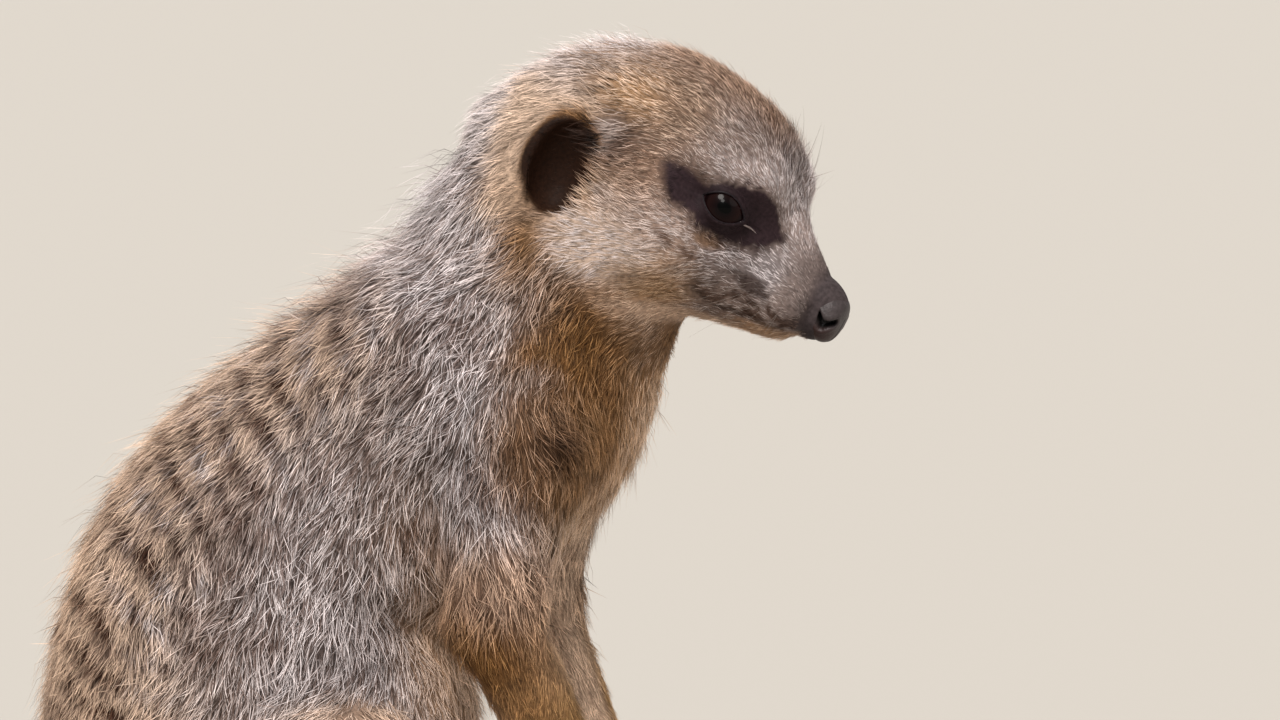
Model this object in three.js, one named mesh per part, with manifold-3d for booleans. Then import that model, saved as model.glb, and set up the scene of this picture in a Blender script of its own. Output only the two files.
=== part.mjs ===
// A meerkat sitting on its haunches, life size, in millimetres.
//
// The animal faces +X, its left side is +Y and +Z is up. It sits on its rump and its flat hind feet, with
// the back hunched, the arms hanging in front of the belly, the tail laid out behind and the head turned a
// little to its right and tipped down. The outer surface of each solid is the outside of the coat.
//
// The flesh is one smooth distance field, made of swept oval sections, rounded cones and ellipsoids that
// melt into each other. It is meshed whole, thinned out where it is flat, and then parted by thin cuts.
import * as THREE from "three";
import { mergeVertices } from "three/addons/utils/BufferGeometryUtils.js";
import Module from "manifold-3d";

const wasm = await Module();
wasm.setup();

// ---------------------------------------------------------------- driving dimensions, mm and degrees
const GAP = 0.4; // clear width of every parting cut
const CELL = 3; // grid that the flesh is meshed on
const THINNING = { head: 0.21, body: 0.65 }; // typical distance that thinning may move the surface
const SLIVER = 0.5; // the smallest face that thinning may leave, twice its area
const STEADY = 0.8; // cosine of the most that one merge may turn a face
const ROOM = { low: [-175.6, -51.3, -5.8], high: [108, 106, 200] }; // the box that holds the animal

const HEAD = { yaw: -14, pitch: 22, eyes: [80.2, -6.8, 159.4] }; // the point midway between the eyes
const EYE = { radius: 5.7, side: 12.3, back: -1.2 }; // eyeball centre, from that point
const EAR = { back: -31.5, side: 22.4, up: -3.4, radii: [7.8, 6.8, 11.2], wall: 1.6, lean: 2.2 };
const NOSE = { front: 26.8, up: -13.2, radii: [4.3, 4.6, 4.9] };

// Spine stations from the rump to the neck's top: x, y, z of the centre, half depth and half width.
const TRUNK = [
  [-31, 0, 21, 25, 23],
  [-27, 0, 40, 33, 30],
  [-23.8, 0, 60, 34.8, 32.5],
  [-17, 0, 81.4, 35.2, 32.5],
  [-6.2, 0, 97.8, 34.3, 31],
  [10, 0, 111.2, 32.8, 28.5],
  [27.5, 0, 124, 33.4, 26.5],
  [37, -0.6, 139.2, 30.2, 25],
  [42.6, -1.6, 152.4, 27.2, 24.2],
  [46.6, -2.6, 164, 25, 22.6],
];

const PAUNCH = { centre: [7, 0, 60], radii: [21, 21, 24] }; // the belly that sags towards the feet

// Limb joints of the animal's left side: x, y, z and the limb's radius there, coat included.
const ARM = {
  blade: [14, 17, 134, 14],
  shoulder: [37, 20.5, 116, 14],
  elbow: { left: [34.2, 27.5, 80.5, 9.5], right: [33.4, 27.5, 81.5, 9.5] },
  wrist: [47.5, 19, 51, 7],
  knuckles: [48.5, 16.5, 38.5, 5.8],
  palm: [4.4, 7, 6.4],
};
const LEG = {
  hip: [-31, 17, 37, 23],
  knee: [6, 27, 49, 15],
  shin: [-4, 31, 29, 9.5],
  ankle: [-23, 30.5, 12, 7.4],
  heel: [-27, 30.5, 6, 6.4],
  ball: [17, 33, 5.2, 6],
  pad: [9, 8, 5.6],
};
// Tail centreline along the floor from its root, with the coat's radius at each point.
const TAIL = [
  [-40, 0, 17, 13.5],
  [-56, 0.5, 10, 10.4],
  [-78, 4, 7.6, 8.1],
  [-104, 14, 6.5, 7],
  [-130, 30, 5.7, 6.2],
  [-150, 51, 4.9, 5.4],
  [-162, 76, 3.9, 4.4],
  [-166, 98, 2.1, 2.6],
];

// Digits: radius, length past the palm or sole, distance and fan (in degrees) between neighbours.
const DIGITS = ["inner", "second", "third", "outer"];
const FINGER = { radius: 2.4, length: 9.5, spread: 3.7, fan: 5 };
const TOE = { radius: 2.7, length: 12, spread: 4.2, fan: 4 };
const FORE_CLAW = { radius: 1.15, length: 12.5, bend: 38 };
const HIND_CLAW = { radius: 1.05, length: 8, bend: 26 };

// Parting planes: a point on each and its normal, towards the head, or towards the tip for the tail.
const CUT = {
  head: { at: [44, 0, 152], normal: [0.757, 0, 0.654] },
  neck: { at: [30, 0, 131], normal: [0.423, 0, 0.906] },
  chest: { at: [-8, 0, 92], normal: [0.371, 0, 0.928] },
  belly: { at: [0, 0, 50], normal: [0, 0, 1] },
  tail: { at: [-50, 0, 12.5], normal: [-0.75, 0, -0.66] },
};
// Where each piece of the tail ends, as a share of its length.
const TAIL_LENGTHS = { tail_root: 0.3, tail_near: 0.54, tail_far: 0.78, tail_tip: 1 };
const LIMB_MARGIN = 3.2; // how far a limb's parting surface stands outside its own radius
const THIGH_INNER = 10; // the thighs stop this far from the middle plane
const HAND = { low: [34, 3, 24], high: [64, 32, 58] }; // block that holds the left hand
const SHANK = { low: [-38, 21.5, 13.6], high: [30, 50, 46] }; // block that holds the left shank
const FOOT = { low: [-38, 21.5, -1], high: [40, 50, 13.2] }; // block that holds the left foot

// ---------------------------------------------------------------- vectors
const add = (a, b, t = 1) => [a[0] + b[0] * t, a[1] + b[1] * t, a[2] + b[2] * t];
const sub = (a, b) => [a[0] - b[0], a[1] - b[1], a[2] - b[2]];
const dot = (a, b) => a[0] * b[0] + a[1] * b[1] + a[2] * b[2];
const size = (a) => Math.hypot(a[0], a[1], a[2]);
const unit = (a) => add([0, 0, 0], a, 1 / size(a));
const across = (a, b) =>
  [a[1] * b[2] - a[2] * b[1], a[2] * b[0] - a[0] * b[2], a[0] * b[1] - a[1] * b[0]];
const mixed = (a, b, t) => a.map((v, i) => v + (b[i] - v) * t);
const clamp = (v, low, high) => Math.min(Math.max(v, low), high);
const shifted = (p, dx, dy, dz) => [p[0] + dx, p[1] + dy, p[2] + dz];
const sideways = (p, side) => [p[0], p[1] * side, ...p.slice(2)]; // side is 1 on the left, -1 on the right

// ---------------------------------------------------------------- distance fields
// Two fields melted together over the width k, and one hollowed by another.
function melt(a, b, k) {
  const h = Math.max(k - Math.abs(a - b), 0) / k;
  return Math.min(a, b) - (h * h * k) / 4;
}
const carve = (a, b, k) => -melt(-a, b, k);

function ellipsoid(p, centre, radii) {
  const q = sub(p, centre);
  const near = Math.hypot(q[0] / radii[0], q[1] / radii[1], q[2] / radii[2]);
  const slope = Math.hypot(q[0] / radii[0] ** 2, q[1] / radii[1] ** 2, q[2] / radii[2] ** 2);
  return slope < 1e-9 ? -Math.min(...radii) : (near * (near - 1)) / slope;
}

// A cone with round ends between two balls, each x, y, z and radius.
function cone(p, a, b) {
  const axis = sub(b, a);
  const t = clamp(dot(sub(p, a), axis) / dot(axis, axis), 0, 1);
  return size(sub(p, mixed(a, b, t))) - (a[3] + (b[3] - a[3]) * t);
}

// Oval sections swept along a smooth line through the stations.
function sweep(stations, steps) {
  const line = new THREE.CatmullRomCurve3(stations.map((s) => new THREE.Vector3(s[0], s[1], s[2])));
  const radii = new THREE.CatmullRomCurve3(stations.map((s) => new THREE.Vector3(s[3], s[4] ?? s[3], 0)));
  const knots = Array.from({ length: steps + 1 }, (_, i) => {
    const at = line.getPoint(i / steps).toArray();
    const along = line.getTangent(i / steps).toArray();
    const side = unit(across([0, 0, 1], Math.abs(along[2]) > 0.98 ? [1, 0, 0] : along));
    return { at, along, side, radii: radii.getPoint(i / steps).toArray() };
  });
  return (p) => {
    let best = { far: Infinity };
    for (let i = 0; i < steps; i++) {
      const [a, b] = [knots[i], knots[i + 1]];
      const axis = sub(b.at, a.at);
      const t = dot(sub(p, a.at), axis) / dot(axis, axis);
      const held = clamp(t, 0, 1);
      const far = size(sub(p, mixed(a.at, b.at, held)));
      if (far < best.far) best = { far, i, t: held };
    }
    const [a, b] = [knots[best.i], knots[best.i + 1]];
    const q = sub(p, mixed(a.at, b.at, best.t));
    const along = unit(mixed(a.along, b.along, best.t));
    const side = unit(sub(a.side, add([0, 0, 0], along, dot(a.side, along))));
    const [depth, width] = mixed(a.radii, b.radii, best.t);
    const ends = best.i === 0 || best.i === steps - 1 ? dot(q, along) / Math.min(depth, width) : 0;
    const [v, u] = [dot(q, side), dot(q, across(along, side))];
    const near = Math.hypot(u / depth, v / width, ends);
    const slope = Math.hypot(u / depth ** 2, v / width ** 2, ends / Math.min(depth, width));
    return slope < 1e-9 ? -Math.min(depth, width) : (near * (near - 1)) / slope;
  };
}

// ---------------------------------------------------------------- the head's own frame
const headTurn = new THREE.Matrix4().makeRotationFromEuler(
  new THREE.Euler(0, THREE.MathUtils.degToRad(HEAD.pitch), THREE.MathUtils.degToRad(HEAD.yaw), "ZYX"),
);
const headPlace = headTurn.clone().setPosition(...HEAD.eyes);
const headInverse = headPlace.clone().invert();
const toHead = (p) => new THREE.Vector3(...p).applyMatrix4(headInverse).toArray();

// In the head's frame x runs forward from between the eyes, y to the animal's left and z up.
function headField(world) {
  const p = toHead(world);
  const q = [p[0], Math.abs(p[1]), p[2]]; // both sides are alike
  let d = ellipsoid(p, [-21.2, 0, 1.6], [30, 23.4, 22]); // braincase
  d = melt(d, ellipsoid(p, [-6, 0, 4], [15, 15, 12.8]), 7); // forehead
  d = melt(d, ellipsoid(q, [-14, 11.5, -9], [16, 12.6, 13.6]), 7); // cheek
  d = melt(d, cone(p, [-4, 0, -8, 14], [11, 0, -10.8, 8.6]), 6); // root of the muzzle
  d = melt(d, cone(p, [8, 0, -10.2, 9.2], [19.4, 0, -13.2, 5]), 3); // muzzle
  d = melt(d, cone(p, [3, 0, 2.6, 5.8], [19.2, 0, -9.4, 3]), 4); // bridge
  d = melt(d, ellipsoid(q, [14.5, 4.4, -13.8], [8.2, 4.6, 4.8]), 3); // whisker pad
  d = melt(d, cone(q, [13, 0.5, -17.4, 4.4], [-8, 8, -15.5, 8]), 3.5); // lower jaw
  d = melt(d, ellipsoid(q, [-0.8, 10.8, 6.2], [8.4, 5.2, 4]), 4); // brow
  d = carve(d, ellipsoid(q, [6.5, 17.8, -1.5], [8.5, 5, 6]), 4); // hollow in front of the eye
  return d;
}

// ---------------------------------------------------------------- the body
const MELT = { paunch: 8, shoulder: 12, arm: 7, leg: 9, tail: 9, head: 5 }; // widths of the soft joints

const spine = sweep(TRUNK, 48);
const tailLine = sweep(TAIL, 48);

function armField(p, elbow) {
  let d = cone(p, ARM.shoulder, elbow);
  d = melt(d, cone(p, elbow, ARM.wrist), 3);
  d = melt(d, cone(p, ARM.wrist, ARM.knuckles), 2);
  return melt(d, ellipsoid(p, ARM.knuckles.slice(0, 3), ARM.palm), 2);
}

function legField(p) {
  let d = cone(p, LEG.hip, LEG.knee);
  d = melt(d, cone(p, LEG.knee, LEG.shin), 6);
  d = melt(d, cone(p, LEG.shin, LEG.ankle), 6);
  d = melt(d, cone(p, LEG.ankle, LEG.heel), 4);
  d = melt(d, cone(p, LEG.heel, LEG.ball), 4);
  return melt(d, ellipsoid(p, LEG.ball.slice(0, 3), LEG.pad), 3);
}

function bodyField(p) {
  const q = [p[0], Math.abs(p[1]), p[2]];
  let d = spine(p);
  d = melt(d, ellipsoid(p, PAUNCH.centre, PAUNCH.radii), MELT.paunch);
  d = melt(d, cone(q, ARM.blade, ARM.shoulder), MELT.shoulder);
  d = melt(d, armField(q, p[1] > 0 ? ARM.elbow.left : ARM.elbow.right), MELT.arm);
  d = melt(d, legField(q), MELT.leg);
  d = melt(d, tailLine(p), MELT.tail);
  return melt(d, headField(p), MELT.head);
}

// ---------------------------------------------------------------- meshing
const outward = (field, p, h = 0.05) =>
  unit([0, 1, 2].map((k) => {
    const step = [0, 0, 0];
    step[k] = h;
    return field(add(p, step)) - field(sub(p, step));
  }));

// Surface nets: one vertex in each cell that the surface crosses, pulled onto the surface, and one face
// across each crossed edge of the grid.
function netted(field, { low, high }, cell = CELL) {
  const count = [0, 1, 2].map((k) => Math.ceil((high[k] - low[k]) / cell) + 1);
  const at = (i, j, k) => [low[0] + i * cell, low[1] + j * cell, low[2] + k * cell];
  const key = (i, j, k) => (i * count[1] + j) * count[2] + k;
  const value = new Float64Array(count[0] * count[1] * count[2]);
  for (let i = 0; i < count[0]; i++)
    for (let j = 0; j < count[1]; j++)
      for (let k = 0; k < count[2]; k++) value[key(i, j, k)] = field(at(i, j, k)) || 1e-6;

  // Where the corners of a grid square alternate, the one nearest the surface changes side, so that no two
  // sheets of the mesh share an edge.
  const stride = [count[1] * count[2], count[2], 1];
  for (let i = 0; i + 1 < count[0]; i++)
    for (let j = 0; j + 1 < count[1]; j++)
      for (let k = 0; k + 1 < count[2]; k++)
        for (const [u, v] of [[0, 1], [1, 2], [2, 0]]) {
          const offsets = [0, stride[u], stride[u] + stride[v], stride[v]];
          const square = offsets.map((offset) => key(i, j, k) + offset);
          const [a, b, c, d] = square.map((corner) => value[corner] < 0);
          if (a !== c || b !== d || a === b) continue;
          const nearest = square.sort((m, n) => Math.abs(value[m]) - Math.abs(value[n]))[0];
          value[nearest] *= -1;
        }

  const corners = [0, 1, 2, 3, 4, 5, 6, 7].map((c) => [c & 1, (c >> 1) & 1, c >> 2]);
  const edges = corners.flatMap((a, i) =>
    corners.map((b, j) => [i, j]).filter(([, j]) => j > i && size(sub(corners[j], a)) === 1),
  );
  const vertex = new Map();
  const points = [];
  for (let i = 0; i + 1 < count[0]; i++)
    for (let j = 0; j + 1 < count[1]; j++)
      for (let k = 0; k + 1 < count[2]; k++) {
        const v = corners.map((c) => value[key(i + c[0], j + c[1], k + c[2])]);
        const crossed = edges.filter(([a, b]) => v[a] < 0 !== v[b] < 0);
        if (!crossed.length) continue;
        const sum = crossed
          .map(([a, b]) => mixed(corners[a], corners[b], v[a] / (v[a] - v[b])))
          .reduce((s, p) => add(s, p), [0, 0, 0]);
        let p = add(at(i, j, k), sum, cell / crossed.length);
        for (let pull = 0; pull < 3; pull++) {
          p = add(p, outward(field, p), -clamp(field(p), -cell / 3, cell / 3));
        }
        vertex.set(key(i, j, k), points.length);
        points.push(p);
      }

  const faces = [];
  for (let i = 1; i + 1 < count[0]; i++)
    for (let j = 1; j + 1 < count[1]; j++)
      for (let k = 1; k + 1 < count[2]; k++)
        for (let axis = 0; axis < 3; axis++) {
          const next = [i, j, k];
          next[axis] += 1;
          const [a, b] = [value[key(i, j, k)] < 0, value[key(...next)] < 0];
          if (a === b) continue;
          const [u, v] = [(axis + 1) % 3, (axis + 2) % 3];
          const ring = [[0, 0], [1, 0], [1, 1], [0, 1]].map(([du, dv]) => {
            const c = [i, j, k];
            c[u] -= du;
            c[v] -= dv;
            return vertex.get(key(...c));
          });
          if (b) ring.reverse();
          const [p, q, r, s] = ring;
          const short = size(sub(points[p], points[r])) < size(sub(points[q], points[s]));
          faces.push(...(short ? [[p, q, r], [p, r, s]] : [[q, r, s], [q, s, p]]));
        }
  return { points, faces };
}

// Merges neighbouring vertices, cheapest first, while each stays close to the planes that met at the
// vertices it stands for. A quadric holds the sum of squared distances to those planes, and how many.
function thinned({ points, faces }, toleranceAt) {
  const at = points.map((p) => [...p]);
  let left = faces;
  const normal = ([a, b, c], place = (v) => at[v]) =>
    across(sub(place(b), place(a)), sub(place(c), place(a)));
  const quadrics = at.map(() => new Float64Array(10));
  for (const face of left) {
    const [x, y, z] = unit(normal(face));
    const w = -dot([x, y, z], at[face[0]]);
    const plane = [x * x, x * y, x * z, x * w, y * y, y * z, y * w, z * z, z * w, w * w];
    for (const v of face) plane.forEach((value, i) => (quadrics[v][i] += value));
  }
  const cost = (q, [x, y, z]) =>
    q[0] * x * x + q[4] * y * y + q[7] * z * z + q[9] +
    2 * (q[1] * x * y + q[2] * x * z + q[3] * x + q[5] * y * z + q[6] * y + q[8] * z);

  for (;;) {
    const around = at.map(() => []);
    left.forEach((face) => face.forEach((v) => around[v].push(face)));
    const ringOf = (v) => new Set(around[v].flat().filter((n) => n !== v));
    const merges = [];
    for (const face of left)
      face.forEach((a, i) => {
        const b = face[(i + 1) % 3];
        if (a > b) return;
        const sum = quadrics[a].map((value, k) => value + quadrics[b][k]);
        const [best] = [at[a], at[b], mixed(at[a], at[b], 0.5)]
          .map((place) => ({ a, b, place, sum, worth: cost(sum, place) }))
          .sort((m, n) => m.worth - n.worth);
        if (best.worth < (sum[0] + sum[4] + sum[7]) * toleranceAt(best.place) ** 2) merges.push(best);
      });
    merges.sort((m, n) => m.worth - n.worth);
    const touched = new Uint8Array(at.length);
    const gone = new Set();
    for (const { a, b, place, sum } of merges) {
      if (touched[a] || touched[b]) continue;
      const [ringA, ringB] = [ringOf(a), ringOf(b)];
      if ([...ringA].filter((v) => ringB.has(v)).length !== 2) continue;
      const moved = (v) => (v === a || v === b ? place : at[v]);
      const kept = [...around[a], ...around[b]].filter((face) => !(face.includes(a) && face.includes(b)));
      const folds = kept.some((face) => {
        const [before, after] = [normal(face), normal(face, moved)];
        return dot(before, after) < STEADY * size(before) * size(after) || size(after) < SLIVER;
      });
      if (folds) continue;
      for (const v of [...ringA, ...ringB]) touched[v] = 1;
      around[a].filter((face) => face.includes(b)).forEach((face) => gone.add(face));
      around[b].forEach((face) => face.splice(face.indexOf(b), 1, a));
      at[a] = place;
      quadrics[a] = sum;
    }
    if (!gone.size) break;
    left = left.filter((face) => !gone.has(face));
  }
  const geometry = new THREE.BufferGeometry();
  geometry.setAttribute("position", new THREE.Float32BufferAttribute(at.flat(), 3));
  geometry.setIndex(left.flat());
  return geometry;
}

// ---------------------------------------------------------------- solids
function solid(geometry) {
  const bare = geometry.clone();
  bare.deleteAttribute("normal");
  bare.deleteAttribute("uv");
  const merged = mergeVertices(bare, 1e-4);
  return new wasm.Manifold(
    new wasm.Mesh({
      numProp: 3,
      vertProperties: merged.attributes.position.array,
      triVerts: new Uint32Array(merged.index.array),
    }),
  );
}

// The faces of a solid, without the ones that shrink to nothing when its vertices are rounded.
function geometryOf(manifold) {
  const ROUNDING = 1e-3;
  const mesh = manifold.getMesh();
  const places = new Map();
  const positions = [];
  const vertex = Array.from({ length: mesh.numVert }, (_, i) => {
    const at = [0, 1, 2].map((k) => Math.round(mesh.vertProperties[i * mesh.numProp + k] / ROUNDING));
    const key = at.join();
    if (!places.has(key)) {
      places.set(key, positions.length / 3);
      positions.push(...at.map((v) => v * ROUNDING));
    }
    return places.get(key);
  });
  const faces = [];
  for (let i = 0; i < mesh.triVerts.length; i += 3) {
    const face = [...mesh.triVerts.subarray(i, i + 3)].map((v) => vertex[v]);
    if (new Set(face).size === 3) faces.push(...face);
  }
  const geometry = new THREE.BufferGeometry();
  geometry.setAttribute("position", new THREE.Float32BufferAttribute(positions, 3));
  geometry.setIndex(faces);
  geometry.computeVertexNormals();
  return geometry;
}

// Everything on the side of a plane that its normal points to, from `clear` mm past the plane.
function beyond(point, normal, clear = GAP / 2) {
  const SPAN = 600;
  const box = new THREE.BoxGeometry(SPAN, SPAN, SPAN);
  const turn = new THREE.Quaternion().setFromUnitVectors(
    new THREE.Vector3(0, 0, 1),
    new THREE.Vector3(...unit(normal)),
  );
  box.translate(0, 0, SPAN / 2 + clear);
  box.applyQuaternion(turn);
  box.translate(...point);
  return solid(box);
}

// A ball-ended bar between two points x, y, z and radius, `grow` mm wider than those radii.
function bar(a, b, grow = 0, around = 14, steps = 3) {
  const axis = sub(b, a);
  const quarter = Array.from({ length: steps }, (_, i) => ((i + 0.5) / steps) * (Math.PI / 2));
  const ring = (radius, turn, middle) =>
    new THREE.Vector2(radius * Math.cos(turn), middle + radius * Math.sin(turn));
  const [ra, rb] = [a[3] + grow, b[3] + grow];
  const profile = [
    new THREE.Vector2(0, -ra),
    ...quarter.toReversed().map((turn) => ring(ra, -turn, 0)),
    ...quarter.map((turn) => ring(rb, turn, size(axis))),
    new THREE.Vector2(0, size(axis) + rb),
  ];
  const shape = new THREE.LatheGeometry(profile, around);
  shape.applyQuaternion(
    new THREE.Quaternion().setFromUnitVectors(new THREE.Vector3(0, 1, 0), new THREE.Vector3(...unit(axis))),
  );
  shape.translate(a[0], a[1], a[2]);
  return solid(shape);
}

function ball(centre, radii, place, around, up) {
  const shape = new THREE.SphereGeometry(1, around, up);
  shape.rotateX(Math.PI / 2);
  shape.scale(...radii);
  shape.translate(...centre);
  shape.applyMatrix4(place);
  return solid(shape);
}

// A block between two corners on the left side, or its mirror image, `grow` mm larger all round.
function block({ low, high }, side, grow = 0) {
  const extent = sub(high, low).map((v) => v + 2 * grow);
  const centre = sideways(mixed(low, high, 0.5), side);
  return solid(new THREE.BoxGeometry(...extent).translate(...centre));
}

// A tapering rod through points x, y, z and radius, closed at both ends.
function rod(points, around) {
  const rings = points.length;
  const vertices = [];
  let side = [0, 1, 0];
  points.forEach((p, i) => {
    const along = unit(sub(points[Math.min(i + 1, rings - 1)], points[Math.max(i - 1, 0)]));
    side = unit(sub(side, add([0, 0, 0], along, dot(side, along))));
    const up = across(along, side);
    for (let k = 0; k < around; k++) {
      const turn = (2 * Math.PI * k) / around;
      vertices.push(add(add(p, side, p[3] * Math.cos(turn)), up, p[3] * Math.sin(turn)));
    }
  });
  vertices.push(points[0].slice(0, 3), points[rings - 1].slice(0, 3));
  const faces = [];
  for (let k = 0; k < around; k++) {
    const n = (k + 1) % around;
    faces.push(rings * around, n, k);
    faces.push(rings * around + 1, (rings - 1) * around + k, (rings - 1) * around + n);
    for (let i = 0; i + 1 < rings; i++) {
      const [low, high] = [i * around, (i + 1) * around];
      faces.push(low + k, low + n, high + n, low + k, high + n, high + k);
    }
  }
  const geometry = new THREE.BufferGeometry();
  geometry.setAttribute("position", new THREE.Float32BufferAttribute(vertices.flat(), 3));
  geometry.setIndex(faces);
  return solid(geometry);
}

// A claw that starts inside a digit's tip and curves by `bend` degrees towards `curl`.
function claw({ tip, heading }, curl, { radius, length, bend }, grow = 0) {
  const STEPS = 3;
  const AROUND = 5;
  const points = [];
  const rooted = radius * 2; // the length inside the digit
  let at = add(tip, heading, -rooted - grow);
  for (let i = 0; i <= STEPS; i++) {
    const share = i / STEPS;
    const turn = THREE.MathUtils.degToRad(bend) * share;
    points.push([...at, radius * (1 - 0.8 * share ** 1.4) + grow]);
    const next = add(add([0, 0, 0], heading, Math.cos(turn)), curl, Math.sin(turn));
    at = add(at, unit(next), (length + rooted) / STEPS);
  }
  return rod(points, AROUND);
}

// The four digits of one paw: where each starts and which way it points.
function digits(start, forward, widthwise, { spread, fan, length }) {
  return DIGITS.map((_, i) => {
    const place = i - (DIGITS.length - 1) / 2;
    const turn = THREE.MathUtils.degToRad(fan) * place;
    const heading = unit(add(add([0, 0, 0], forward, Math.cos(turn)), widthwise, Math.sin(turn)));
    const base = add(start, widthwise, spread * place);
    return { base, heading, tip: add(base, heading, length - Math.abs(place)) };
  });
}

const minus = (from, ...cutters) => cutters.reduce((left, cutter) => left.subtract(cutter), from);
const above = ({ at, normal }) => beyond(at, normal);
const below = ({ at, normal }) => beyond(at, normal.map((v) => -v));

// The plane that halves the bend at joint b of the chain a, b, c, facing a.
const bend = (a, b, c) => ({ at: b.slice(0, 3), normal: unit(add(unit(sub(a, b)), unit(sub(b, c)))) });

// ---------------------------------------------------------------- finish
const FINISH = {
  coat: { color: 0x9a8670, roughness: 0.85 },
  ear: { color: 0x2b2220, roughness: 0.85 },
  nose: { color: 0x2f2a2c, roughness: 0.45 },
  eye: { color: 0x1c0f0a, roughness: 0.08 },
  claw: { color: 0x3a322d, roughness: 0.5 },
};
const root = new THREE.Group();

// Adds the largest body of a solid to the model as one named mesh.
function put(name, piece, finish = "coat") {
  const [whole] = piece.decompose().sort((a, b) => b.volume() - a.volume());
  const material = new THREE.MeshStandardMaterial({ ...FINISH[finish], metalness: 0 });
  const mesh = new THREE.Mesh(geometryOf(whole), material);
  mesh.name = name;
  root.add(mesh);
}

const FLOOR = beyond([0, 0, 0], [0, 0, 1], 0);
const inHead = (p) => dot(sub(p, CUT.head.at), CUT.head.normal) > 0;
const mesh = thinned(netted(bodyField, ROOM), (p) => (inHead(p) ? THINNING.head : THINNING.body));
const flesh = solid(mesh).intersect(FLOOR);

// ---------------------------------------------------------------- limbs
const SIDES = { left: 1, right: -1 };

function arm(name, side) {
  const joints = [ARM.shoulder, ARM.elbow[name], ARM.wrist, ARM.knuckles];
  const [shoulder, elbow, wrist, knuckles] = joints.map((p) => sideways(p, side));
  const upper = (grow) => bar(shoulder, elbow, LIMB_MARGIN + grow);
  const fore = (grow) => bar(elbow, wrist, LIMB_MARGIN + grow);
  const [atElbow, atWrist] = [bend(shoulder, elbow, wrist), bend(elbow, wrist, knuckles)];
  put("upper_arm_" + name, flesh.intersect(upper(0)).intersect(above(atElbow)));
  put("forearm_" + name, flesh.intersect(fore(0)).intersect(below(atElbow)).intersect(above(atWrist)));

  const droop = unit(add(unit(sub(knuckles, wrist)), [-1, 0, 0], 0.1));
  const fingers = digits(add(knuckles.slice(0, 3), droop, 1), droop, [0, side, 0], FINGER);
  const palm = flesh.intersect(block(HAND, side)).intersect(below(atWrist));
  const hand = fingers.reduce(
    (joined, { base, tip }) =>
      joined.add(bar([...base, FINGER.radius], [...tip, FINGER.radius * 0.82], 0, 6, 2)),
    palm,
  );
  const nail = (finger, grow) => claw(finger, [-1, 0, 0], FORE_CLAW, grow);
  put("hand_" + name, minus(hand, ...fingers.map((finger) => nail(finger, GAP))));
  fingers.forEach((finger, i) => put(`claw_fore_${DIGITS[i]}_${name}`, nail(finger, 0), "claw"));
  return [upper(GAP), fore(GAP)];
}

function leg(name, side) {
  const thigh = (grow) =>
    bar(sideways(LEG.hip, side), sideways(LEG.knee, side), LIMB_MARGIN + grow).intersect(
      beyond([0, THIGH_INNER * side, 0], [0, side, 0], -grow),
    );
  put("thigh_" + name, flesh.intersect(thigh(0)));
  put("shank_" + name, minus(flesh.intersect(block(SHANK, side)), thigh(GAP)));

  const sole = shifted(sideways(LEG.ball, side), 3, 0, TOE.radius - LEG.ball[2] - 0.2).slice(0, 3);
  const toes = digits(sole, [1, 0, 0], [0, side, 0], TOE);
  const foot = toes.reduce(
    (joined, { base, tip }) => joined.add(bar([...base, TOE.radius], [...tip, TOE.radius * 0.85], 0, 6, 2)),
    minus(flesh.intersect(block(FOOT, side)), thigh(GAP)),
  );
  const nail = (toe, grow) => claw(toe, [0, 0, -1], HIND_CLAW, grow);
  put("foot_" + name, minus(foot.intersect(FLOOR), ...toes.map((toe) => nail(toe, GAP))));
  toes.forEach((toe, i) => put(`claw_hind_${DIGITS[i]}_${name}`, nail(toe, 0), "claw"));
  return [thigh(GAP), block(SHANK, side, GAP), block(FOOT, side, GAP)];
}

const cutters = Object.entries(SIDES).flatMap(([name, side]) => [...arm(name, side), ...leg(name, side)]);

// ---------------------------------------------------------------- head
const ear = (side, grow = 0) =>
  ball([EAR.back, side * EAR.side, EAR.up], EAR.radii.map((r) => r + grow), headPlace, 11, 8);
const earHollow = (side) =>
  ball(
    [EAR.back + EAR.lean, side * (EAR.side + 2 * EAR.wall), EAR.up],
    EAR.radii.map((r) => r - EAR.wall),
    headPlace,
    11,
    8,
  );
const eye = (side, grow = 0) =>
  ball([EYE.back, side * EYE.side, 0], Array(3).fill(EYE.radius + grow), headPlace, 11, 8);
const nose = (grow = 0) =>
  ball([NOSE.front - NOSE.radii[0], 0, NOSE.up], NOSE.radii.map((r) => r + grow), headPlace, 10, 7);

const sockets = Object.values(SIDES).flatMap((side) => [ear(side, GAP), eye(side, GAP)]);
put("head", minus(flesh.intersect(above(CUT.head)), ...sockets, nose(GAP)));
put("nose", nose(), "nose");
for (const [name, side] of Object.entries(SIDES)) {
  put("eye_" + name, eye(side), "eye");
  put("ear_" + name, ear(side).subtract(earHollow(side)), "ear");
}

// ---------------------------------------------------------------- trunk
const trunk = minus(flesh, ...cutters, ear(SIDES.left, GAP), ear(SIDES.right, GAP));
put("neck", trunk.intersect(below(CUT.head)).intersect(above(CUT.neck)));
put("chest", trunk.intersect(below(CUT.neck)).intersect(above(CUT.chest)));
put("belly", trunk.intersect(below(CUT.chest)).intersect(above(CUT.belly)));
put("rump", trunk.intersect(below(CUT.belly)).intersect(below(CUT.tail)));

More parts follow.
